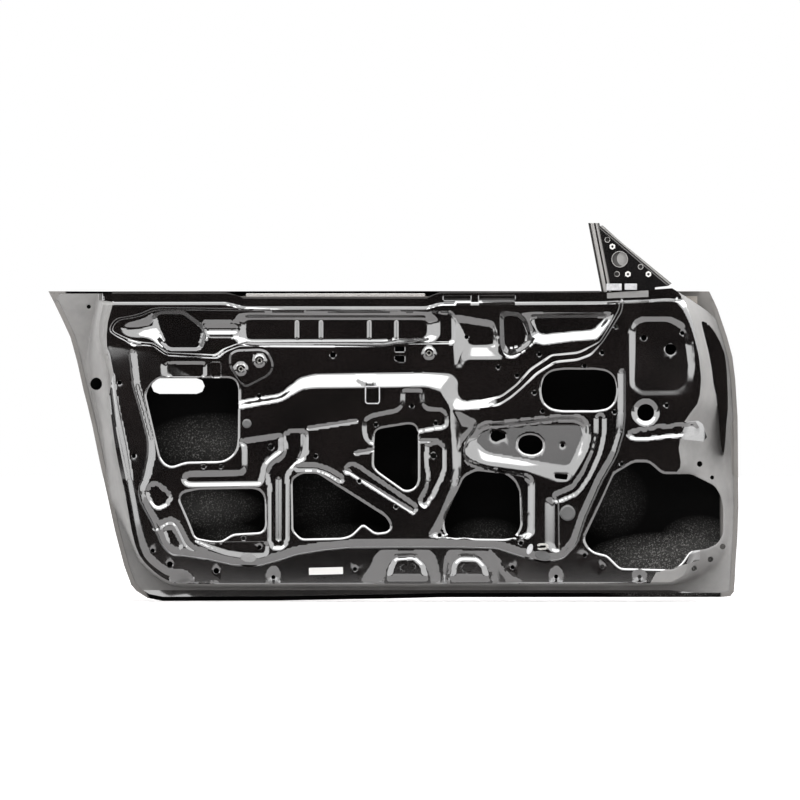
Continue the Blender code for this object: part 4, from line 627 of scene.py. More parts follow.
def band(path, half):
    """Closed outline round an open path, brought to a point at both ends."""
    normals = side_normals(path, False)
    left = path + normals * half
    right = path - normals * half
    ahead = (path[-1] - path[-2]) / np.linalg.norm(path[-1] - path[-2]) * half
    behind = (path[0] - path[1]) / np.linalg.norm(path[0] - path[1]) * half
    return np.concatenate([left, [path[-1] + ahead], right[::-1], [path[0] + behind]])


def ring(centre, radius, sides):
    angles = 2 * math.pi * (np.arange(sides) + 1 / 2) / sides
    return np.asarray(centre) + radius * np.stack([np.cos(angles), np.sin(angles)], axis=1)


def within(points, outline):
    """Whether each point lies inside an outline."""
    result = np.zeros(len(points), bool)
    for (x0, z0), (x1, z1) in zip(outline, np.roll(outline, -1, axis=0)):
        if z0 == z1:
            continue
        crosses = (z0 > points[:, 1]) != (z1 > points[:, 1])
        result ^= crosses & (points[:, 0] < x0 + (points[:, 1] - z0) * (x1 - x0) / (z1 - z0))
    return result


def distance_to(points, outline):
    """How far each point is from the line of an outline."""
    nearest = np.full(len(points), np.inf)
    for start, end in zip(outline, np.roll(outline, -1, axis=0)):
        run = end - start
        if run @ run == 0:
            continue
        share = np.clip((points - start) @ run / (run @ run), 0, 1)
        nearest = np.minimum(nearest, np.linalg.norm(points - start - share[:, None] * run, axis=1))
    return nearest


def eased(share, part):
    """A straight slope from 0 to 1 whose two ends are rounded over a part of its width."""
    part = np.clip(part, SHARPEST_PART, 0.5)
    low = share**2 / (2 * part * (1 - part))
    high = 1 - (1 - share) ** 2 / (2 * part * (1 - part))
    middle = (share - part / 2) / (1 - part)
    return np.where(share < part, low, np.where(share > 1 - part, high, middle))


def stepped(share, part, terrace):
    """A slope with a level terrace on its way: where the terrace starts and ends, and its height."""
    start, end, height = terrace
    low = eased(np.clip(share / start, 0, 1), np.clip(part / start, 0, 0.5)) * height
    high = eased(np.clip((share - end) / (1 - end), 0, 1), np.clip(part / (1 - end), 0, 0.5)) * (1 - height)
    return low + high


def warped(points, to_rim, to_floor, terrace, edges):
    """Where each point stands on a slope whose terrace runs between two drawn edges."""
    start, end, _ = terrace
    outer, inner = edges
    to_outer = distance_to(points, outer)
    to_inner = distance_to(points, inner)
    low = start * to_rim / (to_rim + to_outer)
    level = start + (end - start) * to_outer / (to_outer + to_inner)
    high = end + (1 - end) * to_inner / (to_inner + to_floor)
    return np.where(within(points, inner), high, np.where(within(points, outer), level, low))


def ramp(points, rim, floor, fillet, terrace=None, limit=None, edges=None):
    """0 outside the rim line, 1 inside the floor line, and a rounded slope between the two."""
    share = np.zeros(len(points))
    low = rim.min(axis=0)
    high = rim.max(axis=0)
    near = np.flatnonzero(((points >= low) & (points <= high)).all(axis=1))
    near = near[within(points[near], rim)]
    deep = within(points[near], floor)
    share[near[deep]] = 1
    slope = near[~deep]
    to_rim = distance_to(points[slope], rim)
    to_floor = distance_to(points[slope], floor)
    width = to_rim + to_floor
    part = to_rim / width
    share[slope] = eased(part, fillet / width)
    if terrace:
        start, end, height = terrace
        middle, fade, side = limit
        mask = np.clip(0.5 + side * (points[slope, 0] - middle) / fade, 0, 1)
        if edges:
            part = warped(points[slope], to_rim, to_floor, terrace, edges)
            height = height[slope]
        share[slope] += mask * (stepped(part, fillet / 2 / width, (start, end, height)) - share[slope])
    return share


def level_pressings():
    """Pressings that reach a depth of their own, as (rim, floor, level, None)."""
    drawn = (
        (UPPER_FIELD_RIM_PIXELS, UPPER_FIELD_FLOOR_PIXELS, UPPER_FIELD_Y),
        (BELT_BAND_RIM_PIXELS, BELT_BAND_FLOOR_PIXELS, BELT_BAND_Y),
        (BASIN_RIM_PIXELS, BASIN_FLOOR_PIXELS, BASIN_Y),
        (REAR_POCKET_RIM_PIXELS, REAR_POCKET_FLOOR_PIXELS, REAR_POCKET_Y),
        (CHANNEL_RIM_PIXELS, CHANNEL_FLOOR_PIXELS, CHANNEL_Y),
        (STEP_POCKET_RIM_PIXELS, STEP_POCKET_FLOOR_PIXELS, STEP_POCKET_Y),
        (FRONT_SHELF_RIM_PIXELS, FRONT_SHELF_FLOOR_PIXELS, FRONT_SHELF_Y),
        (FRONT_POCKET_RIM_PIXELS, FRONT_POCKET_FLOOR_PIXELS, FRONT_POCKET_Y),
        (HUMP_REAR_RIM_PIXELS, HUMP_REAR_FLOOR_PIXELS, HUMP_Y),
        (HUMP_FRONT_RIM_PIXELS, HUMP_FRONT_FLOOR_PIXELS, HUMP_Y),
    )
    found = [(softened(place(rim)), softened(place(floor)), level, None) for rim, floor, level in drawn]
    neck = place(NECK_PIXELS)
    found.append((band(neck, NECK_RIM_HALF), band(neck, NECK_FLOOR_HALF), NECK_Y, None))
    even = [
        (place(HINGE_LAND_RIM_PIXELS), SMALL_LIP_WIDTH, HINGE_LAND_Y),
        (place(BRACKET_PAD_PIXELS), STEEP_FLANK, BRACKET_PAD_Y),
    ]
    for middle in DRAIN_TAB_PIXELS:
        rim = place([(middle + share * DRAIN_TAB_HALF_PIXELS, row) for share, row in DRAIN_TAB_RIM_SHARES])
        even.append((rim, WIDE_FLANK, DRAIN_TAB_Y))
    for rim, flank, level in even:
        rim = softened(rim)
        found.append((rim, inset(rim, flank), level, None))
    return found


def carried_pressings():
    """Pressings sunk into whatever face carries them, or raised from it, as (rim, floor, None, depth)."""
    drawn = (
        (ARMREST_RIM_PIXELS, ARMREST_FLOOR_PIXELS, ARMREST_LEAN),
        (WINDER_PANEL_RIM_PIXELS, WINDER_PANEL_FLOOR_PIXELS, WINDER_PANEL_LEAN),
        (ACCESS_LAND_RIM_PIXELS, ACCESS_LAND_FLOOR_PIXELS, STRAP_DEPTH),
        (LOCK_LAND_RIM_PIXELS, LOCK_LAND_FLOOR_PIXELS, SHALLOW_DEPTH),
        (POST_LAND_RIM_PIXELS, POST_LAND_FLOOR_PIXELS, BEAD_DEPTH),
        (FIELD_STEP_RIM_PIXELS, FIELD_STEP_FLOOR_PIXELS, FIELD_STEP_DEPTH),
    )
    found = [(softened(place(rim)), softened(place(floor)), None, depth) for rim, floor, depth in drawn]
    even = (
        (REAR_STRAP_PIXELS, WIDE_FLANK, BEAD_DEPTH),
        (LOOP_STRAP_PIXELS, BEAD_FLANK, BEAD_DEPTH),
        (CATCH_STRAP_PIXELS, BEAD_FLANK, STRAP_DEPTH),
        (KIDNEY_PIXELS, BEAD_FLANK, BEAD_DEPTH),
        (SLOT_LAND_PIXELS, STEEP_FLANK, STRAP_DEPTH),
        (LOCK_BLOCK_PIXELS, NARROW_FLANK, SHALLOW_DEPTH),
        (ARCH_REAR_PIXELS, WIDE_FLANK, -BEAD_DEPTH),
        (ARCH_FRONT_PIXELS, WIDE_FLANK, -BEAD_DEPTH),
        (LEDGE_PAD_PIXELS, STEEP_FLANK, -STRAP_DEPTH),
        (HUMP_SLOT_REAR_PIXELS, NARROW_FLANK, SHALLOW_DEPTH),
        (HUMP_SLOT_FRONT_PIXELS, NARROW_FLANK, SHALLOW_DEPTH),
        (LOCK_BEAD_PIXELS, BEAD_FLANK, BEAD_DEPTH),
        (POST_BEAD_PIXELS, BEAD_FLANK, BEAD_DEPTH),
        (SLOPE_BEAD_PIXELS, STEEP_FLANK, SHALLOW_DEPTH),
    )
    for rim, flank, depth in even:
        rim = softened(place(rim))
        found.append((rim, inset(rim, flank), None, depth))
    return found


def line_pressings():
    """The carrier groove, ribs, beads and bosses, as (rim, floor, None, depth)."""
    groove = eased_path(place(CARRIER_GROOVE_PIXELS))
    deepest = groove - side_normals(groove, False) * GROOVE_LEAN
    found = [(band(groove, GROOVE_RIM_HALF), band(deepest, GROOVE_FLOOR_HALF), None, GROOVE_DEPTH)]
    ribs = [[(column, row) for row in CHANNEL_RIB_ROWS] for column in CHANNEL_RIB_COLUMNS]
    beads = [(rib, RIB_HALF, RIB_TOP_HALF, -RIB_HEIGHT) for rib in ribs]
    beads.append((ARC_BEAD_PIXELS, ARC_HALF, ARC_FLOOR_HALF, STRAP_DEPTH))
    beads.append((SIDE_STRAP_PIXELS, SIDE_STRAP_HALF, SIDE_STRAP_FLOOR_HALF, STRAP_DEPTH))
    beads.append((SLOT_BEAD_PIXELS, BEAD_FLANK, SLOT_BEAD_FLOOR_HALF, STRAP_DEPTH))
    beads += [(line, FINE_BEAD_HALF, FINE_BEAD_FLOOR_HALF, FINE_BEAD_DEPTH) for line in FINE_BEAD_PIXELS]
    for pixels, rim_half, floor_half, depth in beads:
        line = eased_path(place(pixels))
        found.append((band(line, rim_half), band(line, floor_half), None, depth))
    for centre in BOSS_PIXELS.values():
        foot = ring(spot(centre), BOSS_FOOT_RADIUS, BOSS_SIDES)
        top = ring(spot(centre), BOSS_TOP_RADIUS, BOSS_SIDES)
        found.append((foot, top, None, -BOSS_HEIGHT))
    return found


def pressings():
    """Every pressing of the web as (rim, floor, level, depth), in the order they are struck."""
    return level_pressings() + carried_pressings() + line_pressings()


def openings():
    """Every opening of the panel as (outline, width of its rolled lip, depth of that lip)."""
    found = []
    small = []
    for name, pixels in CUTOUT_PIXELS.items():
        if "slot" in name or "key" in name:
            small.append(softened(place(pixels), SLOT_CORNER_CUT))
        else:
            found.append((softened(place(pixels)), LIP_WIDTH, LIP_DEPTH))
    small += [ring(spot(pixel), SMALL_HOLE_RADIUS, SMALL_HOLE_SIDES) for pixel in SMALL_HOLE_PIXELS]
    small += [ring(spot(pixel), CLIP_HOLE_RADIUS, CLIP_HOLE_SIDES) for pixel in CLIP_HOLE_PIXELS]
    small += [ring(spot(pixel), BOSS_HOLE_RADIUS, BOSS_HOLE_SIDES) for pixel in BOSS_PIXELS.values()]
    small += [ring(spot(PLUG_PIXELS[end]), PLUG_HOLE_RADII[end], PLUG_HOLE_SIDES) for end in PLUG_PIXELS]
    found += [(outline, SMALL_LIP_WIDTH, SMALL_LIP_DEPTH) for outline in small]
    harness = ring(spot(HARNESS_HOLE_PIXEL), HARNESS_HOLE_RADIUS, HARNESS_HOLE_SIDES)
    found.append((harness, COLLAR_WIDTH, COLLAR_DEPTH))
    latch = ring(spot(LATCH_HOLE_PIXEL), LATCH_HOLE_RADIUS, LARGE_HOLE_SIDES)
    regulator = ring(spot(REGULATOR_HOLE_PIXEL), REGULATOR_HOLE_RADIUS, LARGE_HOLE_SIDES)
    found += [(outline, SMALL_LIP_WIDTH, SMALL_LIP_DEPTH) for outline in (latch, regulator)]
    return found


# The terrace of each level. The front hump has the level, and so the terrace, of the upper field.
TERRACES = {
    UPPER_FIELD_Y: (SHOULDER_TERRACE, SHOULDER_TERRACE_LIMIT),
    BASIN_Y: (BASIN_TERRACE, BASIN_TERRACE_LIMIT),
    NECK_Y: (NECK_TERRACE, NECK_TERRACE_LIMIT),
}


def leaning(points, lean):
    """Depth of a floor that leans: its depth at the foot and at the top, and the rows of those."""
    foot_depth, top_depth, foot_row, top_row = lean
    rise = (points[:, 1] - height_of(foot_row)) / (height_of(top_row) - height_of(foot_row))
    return foot_depth + (top_depth - foot_depth) * np.clip(rise, 0, 1)


def panel_y(points, struck, open_edges):
    """Depth of the inner panel's cabin face."""
    flange = skin_y(points) - SKIN_SHEET - HEM_GAP - PANEL_SHEET
    foot = softened(place(WALL_FOOT_PIXELS))
    edge = softened(place(WEB_EDGE_PIXELS))
    heights = [height_of(row) for row in SEAL_TERRACE_ROWS]
    rise = np.interp(points[:, 1], heights, (SEAL_TERRACE[2], SEAL_TERRACE_TOP))
    gutter = [place(path + GUTTER_CLOSING_PIXELS) for path in (GUTTER_OUTER_PIXELS, GUTTER_INNER_PIXELS)]
    share = ramp(points, foot, edge, ROLL_FILLET, (*SEAL_TERRACE[:2], rise), SEAL_TERRACE_LIMIT, gutter)
    y = flange + share * (LOWER_FIELD_Y - flange)
    for rim, floor, level, depth in struck:
        share = ramp(points, rim, floor, FILLET, *TERRACES.get(level, ()))
        if isinstance(depth, tuple):
            depth = leaning(points, depth)
        if level is None:
            y = y + share * depth
        elif level == HINGE_LAND_Y:
            y = y + share * (level - y)
        elif level == BRACKET_PAD_Y:
            y = y + share * np.minimum(level - y, 0)
        else:
            y = y + share * np.maximum(level - y, 0)
    for outline, width, depth in open_edges:
        low = outline.min(axis=0) - width
        high = outline.max(axis=0) + width
        near = np.flatnonzero(((points >= low) & (points <= high)).all(axis=1))
        away = np.clip(1 - distance_to(points[near], outline) / width, 0, 1)
        y[near] += depth * away**2
    return y


def lattice(outline, lines, struck, open_edges):
    """Points that fill the sheet: close together where it bends, far apart where it is flat."""
    low = outline.min(axis=0)
    high = outline.max(axis=0)
    columns = np.arange(low[0], high[0], FINE_PITCH)
    rows = np.arange(low[1], high[1], FINE_PITCH)
    grid = np.stack(np.meshgrid(columns, rows, indexing="ij"), axis=-1)
    heights = panel_y(grid.reshape(-1, 2), struck, open_edges).reshape(grid.shape[:2])
    bend = np.zeros_like(heights)
    bend[1:-1] = np.abs(heights[2:] - 2 * heights[1:-1] + heights[:-2])
    upward = np.abs(heights[:, 2:] - 2 * heights[:, 1:-1] + heights[:, :-2])
    bend[:, 1:-1] = np.maximum(bend[:, 1:-1], upward)
    bent = bend > BEND_LIMIT
    wide = bent.copy()
    wide[1:] |= bent[:-1]
    wide[:-1] |= bent[1:]
    wide[:, 1:] |= bent[:, :-1]
    wide[:, :-1] |= bent[:, 1:]
    wide[::COARSE_EVERY, ::COARSE_EVERY] = True
    for line in lines:
        steps = divided(line, FINE_PITCH / STEPS_IN_CELL, True)
        index = np.round((steps - low) / FINE_PITCH).astype(int)
        good = (index >= 0).all(axis=1) & (index < wide.shape).all(axis=1)
        wide[index[good, 0], index[good, 1]] = False
    points = grid[wide]
    return points[within(points, outline)]


def terrace_lines(struck):
    """Closed lines round the shoulder's and the basin's terraces, and round these with their bends."""
    found = []
    for level in (UPPER_FIELD_Y, BASIN_Y):
        (start, end, _), (middle, fade, side) = TERRACES[level]
        rim, floor = next(pressing[:2] for pressing in struck if pressing[2] == level)
        steps = divided(rim, LINE_PITCH, True)
        target = divided(floor, LINE_PITCH / STEPS_IN_PITCH, True)
        apart = ((steps[:, None] - target[None]) ** 2).sum(axis=2)
        down = target[apart.argmin(axis=1)] - steps
        kept = ((steps[:, 0] - middle) * side > -fade / 2) & (steps[:, 1] < height_of(TERRACE_TOP_ROW))
        first = np.flatnonzero(kept & ~np.roll(kept, 1))[0]
        order = np.roll(np.arange(len(steps)), -first)
        order = order[kept[order]]
        for spread in (0, TERRACE_BEND):
            low = steps[order] + (start - spread) * down[order]
            high = steps[order] + (end + spread) * down[order]
            found.append(np.concatenate([low, high[::-1]]))
    return found


def cut_sheet(outline, holes, lines, spare):
    """Flat triangulated sheet inside an outline, without its holes, with edges along the lines."""
    points = []
    edges = []
    for line in [outline, *holes, *lines]:
        first = len(points)
        points += [Vector(point) for point in line]
        edges += [(first + i, first + (i + 1) % len(line)) for i in range(len(line))]
    points += [Vector(point) for point in spare]
    found = delaunay_2d_cdt(points, edges, [], 0, POINT_MERGE)
    corners = np.array([tuple(point) for point in found[0]])
    faces = np.array([tuple(face) for face in found[2]])
    middles = corners[faces].mean(axis=1)
    kept = within(middles, outline)
    for hole in holes:
        near = np.flatnonzero(((middles >= hole.min(axis=0)) & (middles <= hole.max(axis=0))).all(axis=1))
        kept[near[within(middles[near], hole)]] = False
    faces = without_edge_slivers(corners, faces[kept])
    used = np.unique(faces)
    index = np.zeros(len(corners), int)
    index[used] = np.arange(len(used))
    return corners[used], index[faces]


def without_edge_slivers(corners, faces):
    """Faces without the flat ones along the sheet's edges, until none is left."""
    kept = edge_slivers_dropped(corners, faces)
    while len(kept) < len(faces):
        faces = kept
        kept = edge_slivers_dropped(corners, faces)
    return kept


def edge_slivers_dropped(corners, faces):
    sides = np.concatenate([faces[:, [0, 1]], faces[:, [1, 2]], faces[:, [2, 0]]])
    _, index, count = np.unique(np.sort(sides, axis=1), axis=0, return_inverse=True, return_counts=True)
    open_sides = count[index.reshape(-1)].reshape(3, -1) == 1
    spans = np.linalg.norm(corners[sides[:, 0]] - corners[sides[:, 1]], axis=1).reshape(3, -1)
    first, second, third = (corners[faces[:, i]] for i in range(3))
    doubled = np.abs(np.cross(second - first, third - first))
    flat = doubled / spans.max(axis=0) < POINT_MERGE / 2
    return faces[~(flat & open_sides.any(axis=0))]


def skin_outline():
    """Closed outline of the skin, and how many of its points the belt has."""
    belt = divided(place(SKIN_BELT_PIXELS), 2 * LONGEST_EDGE)
    rest = place(SKIN_FRONT_PIXELS + SKIN_FOOT_PIXELS + SKIN_REAR_PIXELS)
    closing = divided(np.concatenate([belt[-1:], rest, belt[:1]]), LONGEST_EDGE)
    return np.concatenate([belt, closing[1:-1]]), len(belt)


def panel_outline():
    """Closed outline of the inner panel: the belt edge, then inside the hem all round."""
    outer, belt_count = skin_outline()
    inner = inset(outer, SKIN_SHEET + HEM_GAP)[belt_count:]
    belt = place(PANEL_BELT_PIXELS)
    notch = place(PANEL_NOTCH_PIXELS)
    low = belt[-1][1] - STEEP_FLANK
    high = belt[0][1] - STEEP_FLANK
    front = (inner[:, 0] > 0) & (inner[:, 1] < low)
    rear = (inner[:, 0] <= 0) & (inner[:, 1] < high)
    inner = inner[front | rear]
    above = (inner[:, 0] > 0) & (inner[:, 1] > notch[0][1] + POINT_MERGE)
    below = inner[:, 1] <= notch[0][1] + POINT_MERGE
    beside = (inner[:, 0] > 0) & below & (inner[:, 1] >= notch[-1][1] - POINT_MERGE)
    rest = inner[~above & ~beside]
    return np.concatenate([belt, inner[above], notch, rest])


def sheet_object(name, corners, depths, faces, sheet):
    """Mesh object of a sheet whose face looks at the cabin, given its thickness away from it."""
    mesh = bpy.data.meshes.new(name)
    points = np.stack([corners[:, 0], depths, corners[:, 1]], axis=1) + np.array(DOOR_SHIFT)
    mesh.from_pydata(points.tolist(), [], faces.tolist())
    mesh.update()
    thing = bpy.data.objects.new(name, mesh)
    bpy.context.scene.collection.objects.link(thing)
    bpy.ops.object.select_all(action="DESELECT")
    thing.select_set(True)
    bpy.context.view_layer.objects.active = thing
    normals = np.empty(len(mesh.polygons) * 3)
    mesh.polygons.foreach_get("normal", normals)
    if normals.reshape(-1, 3)[:, 1].sum() > 0:
        mesh.flip_normals()
    solidify = thing.modifiers.new("Sheet", "SOLIDIFY")
    solidify.thickness = sheet
    solidify.offset = -1
    solidify.use_even_offset = True
    solidify.use_quality_normals = True
    bpy.ops.object.modifier_apply(modifier="Sheet")
    bpy.ops.object.shade_smooth_by_angle(angle=SMOOTH_ANGLE)
    return thing


def fold_lines(struck, open_edges):
    """Closed lines that the triangles follow: folds, borders of the primer, terraces and wide lips."""
    web = softened(place(WEB_EDGE_PIXELS))
    gutter = softened(place(GUTTER_OUTER_PIXELS + GUTTER_INNER_PIXELS[::-1]))
    folds = [softened(place(WALL_FOOT_PIXELS)), web]
    for rim, floor, _, _ in struck:
        folds += [rim, floor]
    folds += [inset(gutter, -FILLET), gutter, inset(gutter, FILLET), inset(web, -FILLET)]
    folds += [place(border) for border in PRIMER_BORDERS]
    lips = []
    for edge, width, _ in open_edges:
        if width >= LIP_WIDTH:
            lips += [inset(edge, -width), inset(edge, -width / 2)]
    folds = [divided(line, LINE_PITCH, True) for line in folds]
    return folds + terrace_lines(struck) + [divided(line, LINE_PITCH, True) for line in lips]


def mark_primer(panel):
    """Writes on each face whether it shows primer. The land under the front hinge doesn't."""
    centres = np.empty(len(panel.data.polygons) * 3)
    panel.data.polygons.foreach_get("center", centres)
    flat = centres.reshape(-1, 3)[:, [0, 2]] - np.array(DOOR_SHIFT)[[0, 2]]
    bare = np.any([within(flat, place(border)) for border in PRIMER_BORDERS], axis=0)
    bare &= ~within(flat, softened(place(HINGE_LAND_RIM_PIXELS)))
    primer = panel.data.attributes.new("primer", "FLOAT", "FACE")
    primer.data.foreach_set("value", bare.astype(np.float32))


def press_inner_panel():
    """The inner panel, struck from one sheet with rounded flanks and rolled openings."""
    struck = pressings()
    open_edges = openings()
    lines = fold_lines(struck, open_edges)
    holes = [divided(edge, LINE_PITCH, True) for edge, _, _ in open_edges]
    outline = divided(panel_outline(), 2 * LINE_PITCH, True)
    spare = lattice(outline, [outline, *holes, *lines], struck, open_edges)
    corners, faces = cut_sheet(outline, holes, lines, spare)
    depths = panel_y(corners, struck, open_edges)
    panel = sheet_object("inner_panel_pressed", corners, depths, faces, PANEL_SHEET)
    mark_primer(panel)
    return panel


# The skin's bare fold and its dark inner side: shares of x and z, and the two ends of the limit on their sum
INSIDE_LIMITS = (
    (1.0, 0.232, -0.516, -0.512),
    (1.0, 0.55, -0.489, -0.485),
    (-1.0, 0.0, -0.658, -0.654),
    (-1.0, -1.0, -1.152, -1.148),
)
# Patches of painted light on the skin's inner side, where light falls through the openings, which also carry
# its dust specks: middle, half width, half height and strength
LIGHT_AND_DUST_PATCHES = (
    (215, 446, 75, 34, 0.60), (205, 508, 60, 22, 0.9), (225, 535, 40, 14, 0.3), (320, 500, 40, 40, 0.12),
    (345, 537, 50, 15, 0.3), (665, 568, 90, 36, 1.7), (610, 500, 40, 40, 0.2), (700, 540, 40, 25, 0.5),
    (485, 537, 40, 20, 0.4), (440, 470, 30, 25, 0.25),
)

# The mirror plate: its rear sheet, its holes with painted highlights round their rims, its nuts with painted
# shade in their bores, and what the rear sheet shows through the large hole
MIRROR_BACK_Y = -0.0210
MIRROR_BACK_PIXELS = ((602.6, 232), (604, 231), (664, 281.8), (642, 286), (613, 286))
MIRROR_HOLES = ((607.4, 239.8, 0.0043), (617, 274, 0.0043), (640.6, 266.8, 0.0043), (619.7, 259.2, 0.0150))
MIRROR_RIM_HIGHLIGHT_WIDTH = 0.0013
MIRROR_NUTS = ((612.2, 246.4, 0), (627.9, 274.2, 0))
NUT_BORE_SHADE_RADIUS = 0.0010
MIRROR_PATCHES = ((624.5, 258.6, 0),)
MIRROR_PATCH_RADIUS = 0.0150

# Painted highlights along folded edges, as stripes of light and dark: the two ends and the width of each
# band, and its stripes
MIRROR_FOLD_PIXELS = ((602.6, 225.4), (671.2, 283.2))
MIRROR_FOLD_WIDTH = 0.0100
MIRROR_FOLD_HIGHLIGHTS = (
    (0.0, 0.10), (0.10, 0.10), (0.14, 0.32), (0.42, 0.28), (0.46, 0.01), (0.64, 0.01), (0.68, 0.13),
    (0.86, 0.12), (0.90, 0.0), (1.0, 0.0),
)
CHANNEL_EDGE_PIXELS = ((630.6, 440), (588.4, 223))
CHANNEL_WIDTH = 0.0214
CHANNEL_FOLD_HIGHLIGHTS = (
    (0.0, 0.02), (0.17, 0.02), (0.20, 0.30), (0.48, 0.38), (0.50, 0.0), (0.64, 0.0), (0.66, 0.34),
    (0.84, 0.26), (0.88, 0.08), (1.0, 0.10),
)

# The small blank label near the foot of the web
LABEL_PIXEL = (326, 570.8)
LABEL_TURN = math.radians(-1.5)
LABEL_LENGTH = 0.068
LABEL_HEIGHT = 0.014

# Coatings
DUST_COLOUR = (0.62, 0.60, 0.57, 1)
SPECK_FADE = 0.12
MOTTLE_CONTRAST = 2.2
GLOSS_SPREAD = 0.3
COAT_ROUGHNESS = 0.06
PEEL_DEPTH = 0.0006

# The camera: a long lens, straight on, at the depth of the panel's web
LENS = 560
SENSOR_WIDTH = 36
VIEW_WIDTH = 1.6
VIEW_Y = -0.03

# How the studio's cards lie
LEVEL = (0, 0, 0)
ON_END = (0, math.pi / 2, 0)
UPRIGHT = (math.pi / 2, 0, 0)
FLOOR_Z = -0.0006


# Materials

def feed(tree, taker, value):
    """Links a socket to another socket, or sets it to a value."""
    if isinstance(value, bpy.types.NodeSocket):
        tree.links.new(value, taker)
    else:
        taker.default_value = value


def calculated(tree, operation, *values, clamp=False):
    """What a Math node makes of its values, each of them a number or a socket."""
    node = tree.nodes.new("ShaderNodeMath")
    node.operation = operation
    node.use_clamp = clamp
    for taker, value in zip(node.inputs, values):
        feed(tree, taker, value)
    return node.outputs["Value"]


def vector_step(tree, operation, *values):
    """The outputs of a Vector Math node."""
    node = tree.nodes.new("ShaderNodeVectorMath")
    node.operation = operation
    for taker, value in zip(node.inputs, values):
        feed(tree, taker, value)
    return node.outputs


def mixed(tree, share, first, second, kind="RGBA", blend="MIX"):
    """What lies a share of the way from the first colour or number to the second."""
    node = tree.nodes.new("ShaderNodeMix")
    node.data_type = kind
    node.blend_type = blend
    for title, value in (("Factor", share), ("A", first), ("B", second)):
        feed(tree, node.inputs[title], value)
    return node.outputs["Result"]


def ranged(tree, value, before=(0, 1), after=(0, 1)):
    """A value carried from one range to another, and kept within it."""
    node = tree.nodes.new("ShaderNodeMapRange")
    for title, end in zip(("From Min", "From Max", "To Min", "To Max"), (*before, *after)):
        feed(tree, node.inputs[title], end)
    feed(tree, node.inputs["Value"], value)
    return node.outputs["Result"]


def noise(tree, where, scale, detail, roughness=0.5):
    node = tree.nodes.new("ShaderNodeTexNoise")
    node.inputs["Detail"].default_value = detail
    node.inputs["Roughness"].default_value = roughness
    feed(tree, node.inputs["Scale"], scale)
    tree.links.new(where, node.inputs["Vector"])
    return node.outputs["Fac"]


def split(tree, vector):
    """The x, y and z of a vector."""
    node = tree.nodes.new("ShaderNodeSeparateXYZ")
    tree.links.new(vector, node.inputs[0])
    return tuple(node.outputs)


def own_coordinates(tree):
    """The object's own coordinates, which don't move with the view."""
    return tree.nodes.new("ShaderNodeTexCoord").outputs["Object"]


def own_normal(tree):
    """Which way the object's surface faces."""
    return tree.nodes.new("ShaderNodeTexCoord").outputs["Normal"]


def in_frame(point):
    """Place in the frame, at depth 0, of a place on the door given as (along, above)."""
    return (point[0] + DOOR_SHIFT[0], 0, point[1] + DOOR_SHIFT[2])


def centred(tree, centre, size, turn=0):
    """The object's coordinates measured from a patch's middle, in patch sizes."""
    node = tree.nodes.new("ShaderNodeMapping")
    node.vector_type = "TEXTURE"
    node.inputs["Location"].default_value = in_frame(centre)
    node.inputs["Rotation"].default_value = (0, turn, 0)
    node.inputs["Scale"].default_value = (size[0], 1, size[1])
    tree.links.new(own_coordinates(tree), node.inputs["Vector"])
    return node.outputs["Vector"]


def new_group(name, inputs, outputs):
    """Empty shader group, its inputs named with their usual values, and its outputs named."""
    group = bpy.data.node_groups.new(name, "ShaderNodeTree")
    for title, value in inputs.items():
        made = group.interface.new_socket(title, in_out="INPUT", socket_type="NodeSocketFloat")
        made.default_value = value
    for title in outputs:
        group.interface.new_socket(title, in_out="OUTPUT", socket_type="NodeSocketFloat")
    return group, group.nodes.new("NodeGroupInput").outputs, group.nodes.new("NodeGroupOutput").inputs


def placed(tree, group, **values):
    """The outputs of a group that is placed in a material with its own values."""
    node = tree.nodes.new("ShaderNodeGroup")
    node.node_tree = group
    for title, value in values.items():
        node.inputs[title].default_value = value
    return node.outputs


def dust_group():
    """Fine specks of dust, thicker where a broad noise says so."""
    group, start, end = new_group("dust", {"Scale": 900.0, "Amount": 0.5, "Sparse": 0.66}, ["Mask"])
    where = own_coordinates(group)
    specks = noise(group, where, start["Scale"], detail=3, roughness=0.75)
    broad = noise(group, where, scale=9, detail=4)
    level = calculated(group, "MULTIPLY", broad, start["Amount"])
    dense = calculated(group, "ADD", start["Sparse"], SPECK_FADE)
    shown = ranged(group, specks, (start["Sparse"], dense))
    group.links.new(calculated(group, "MULTIPLY", shown, level), end["Mask"])
    return group


def mottle_group():
    """Slow variation of a coating, for its colour and its gloss, and the fine peel of its surface."""
    group, start, end = new_group("mottle", {"Scale": 6.0, "Contrast": 1.0}, ["Value", "Peel"])
    where = own_coordinates(group)
    slow = noise(group, where, start["Scale"], detail=6, roughness=0.6)
    shift = calculated(group, "SUBTRACT", slow, 0.5)
    group.links.new(calculated(group, "MULTIPLY_ADD", shift, start["Contrast"], 0.5), end["Value"])
    group.links.new(noise(group, where, scale=420, detail=2), end["Peel"])
    return group


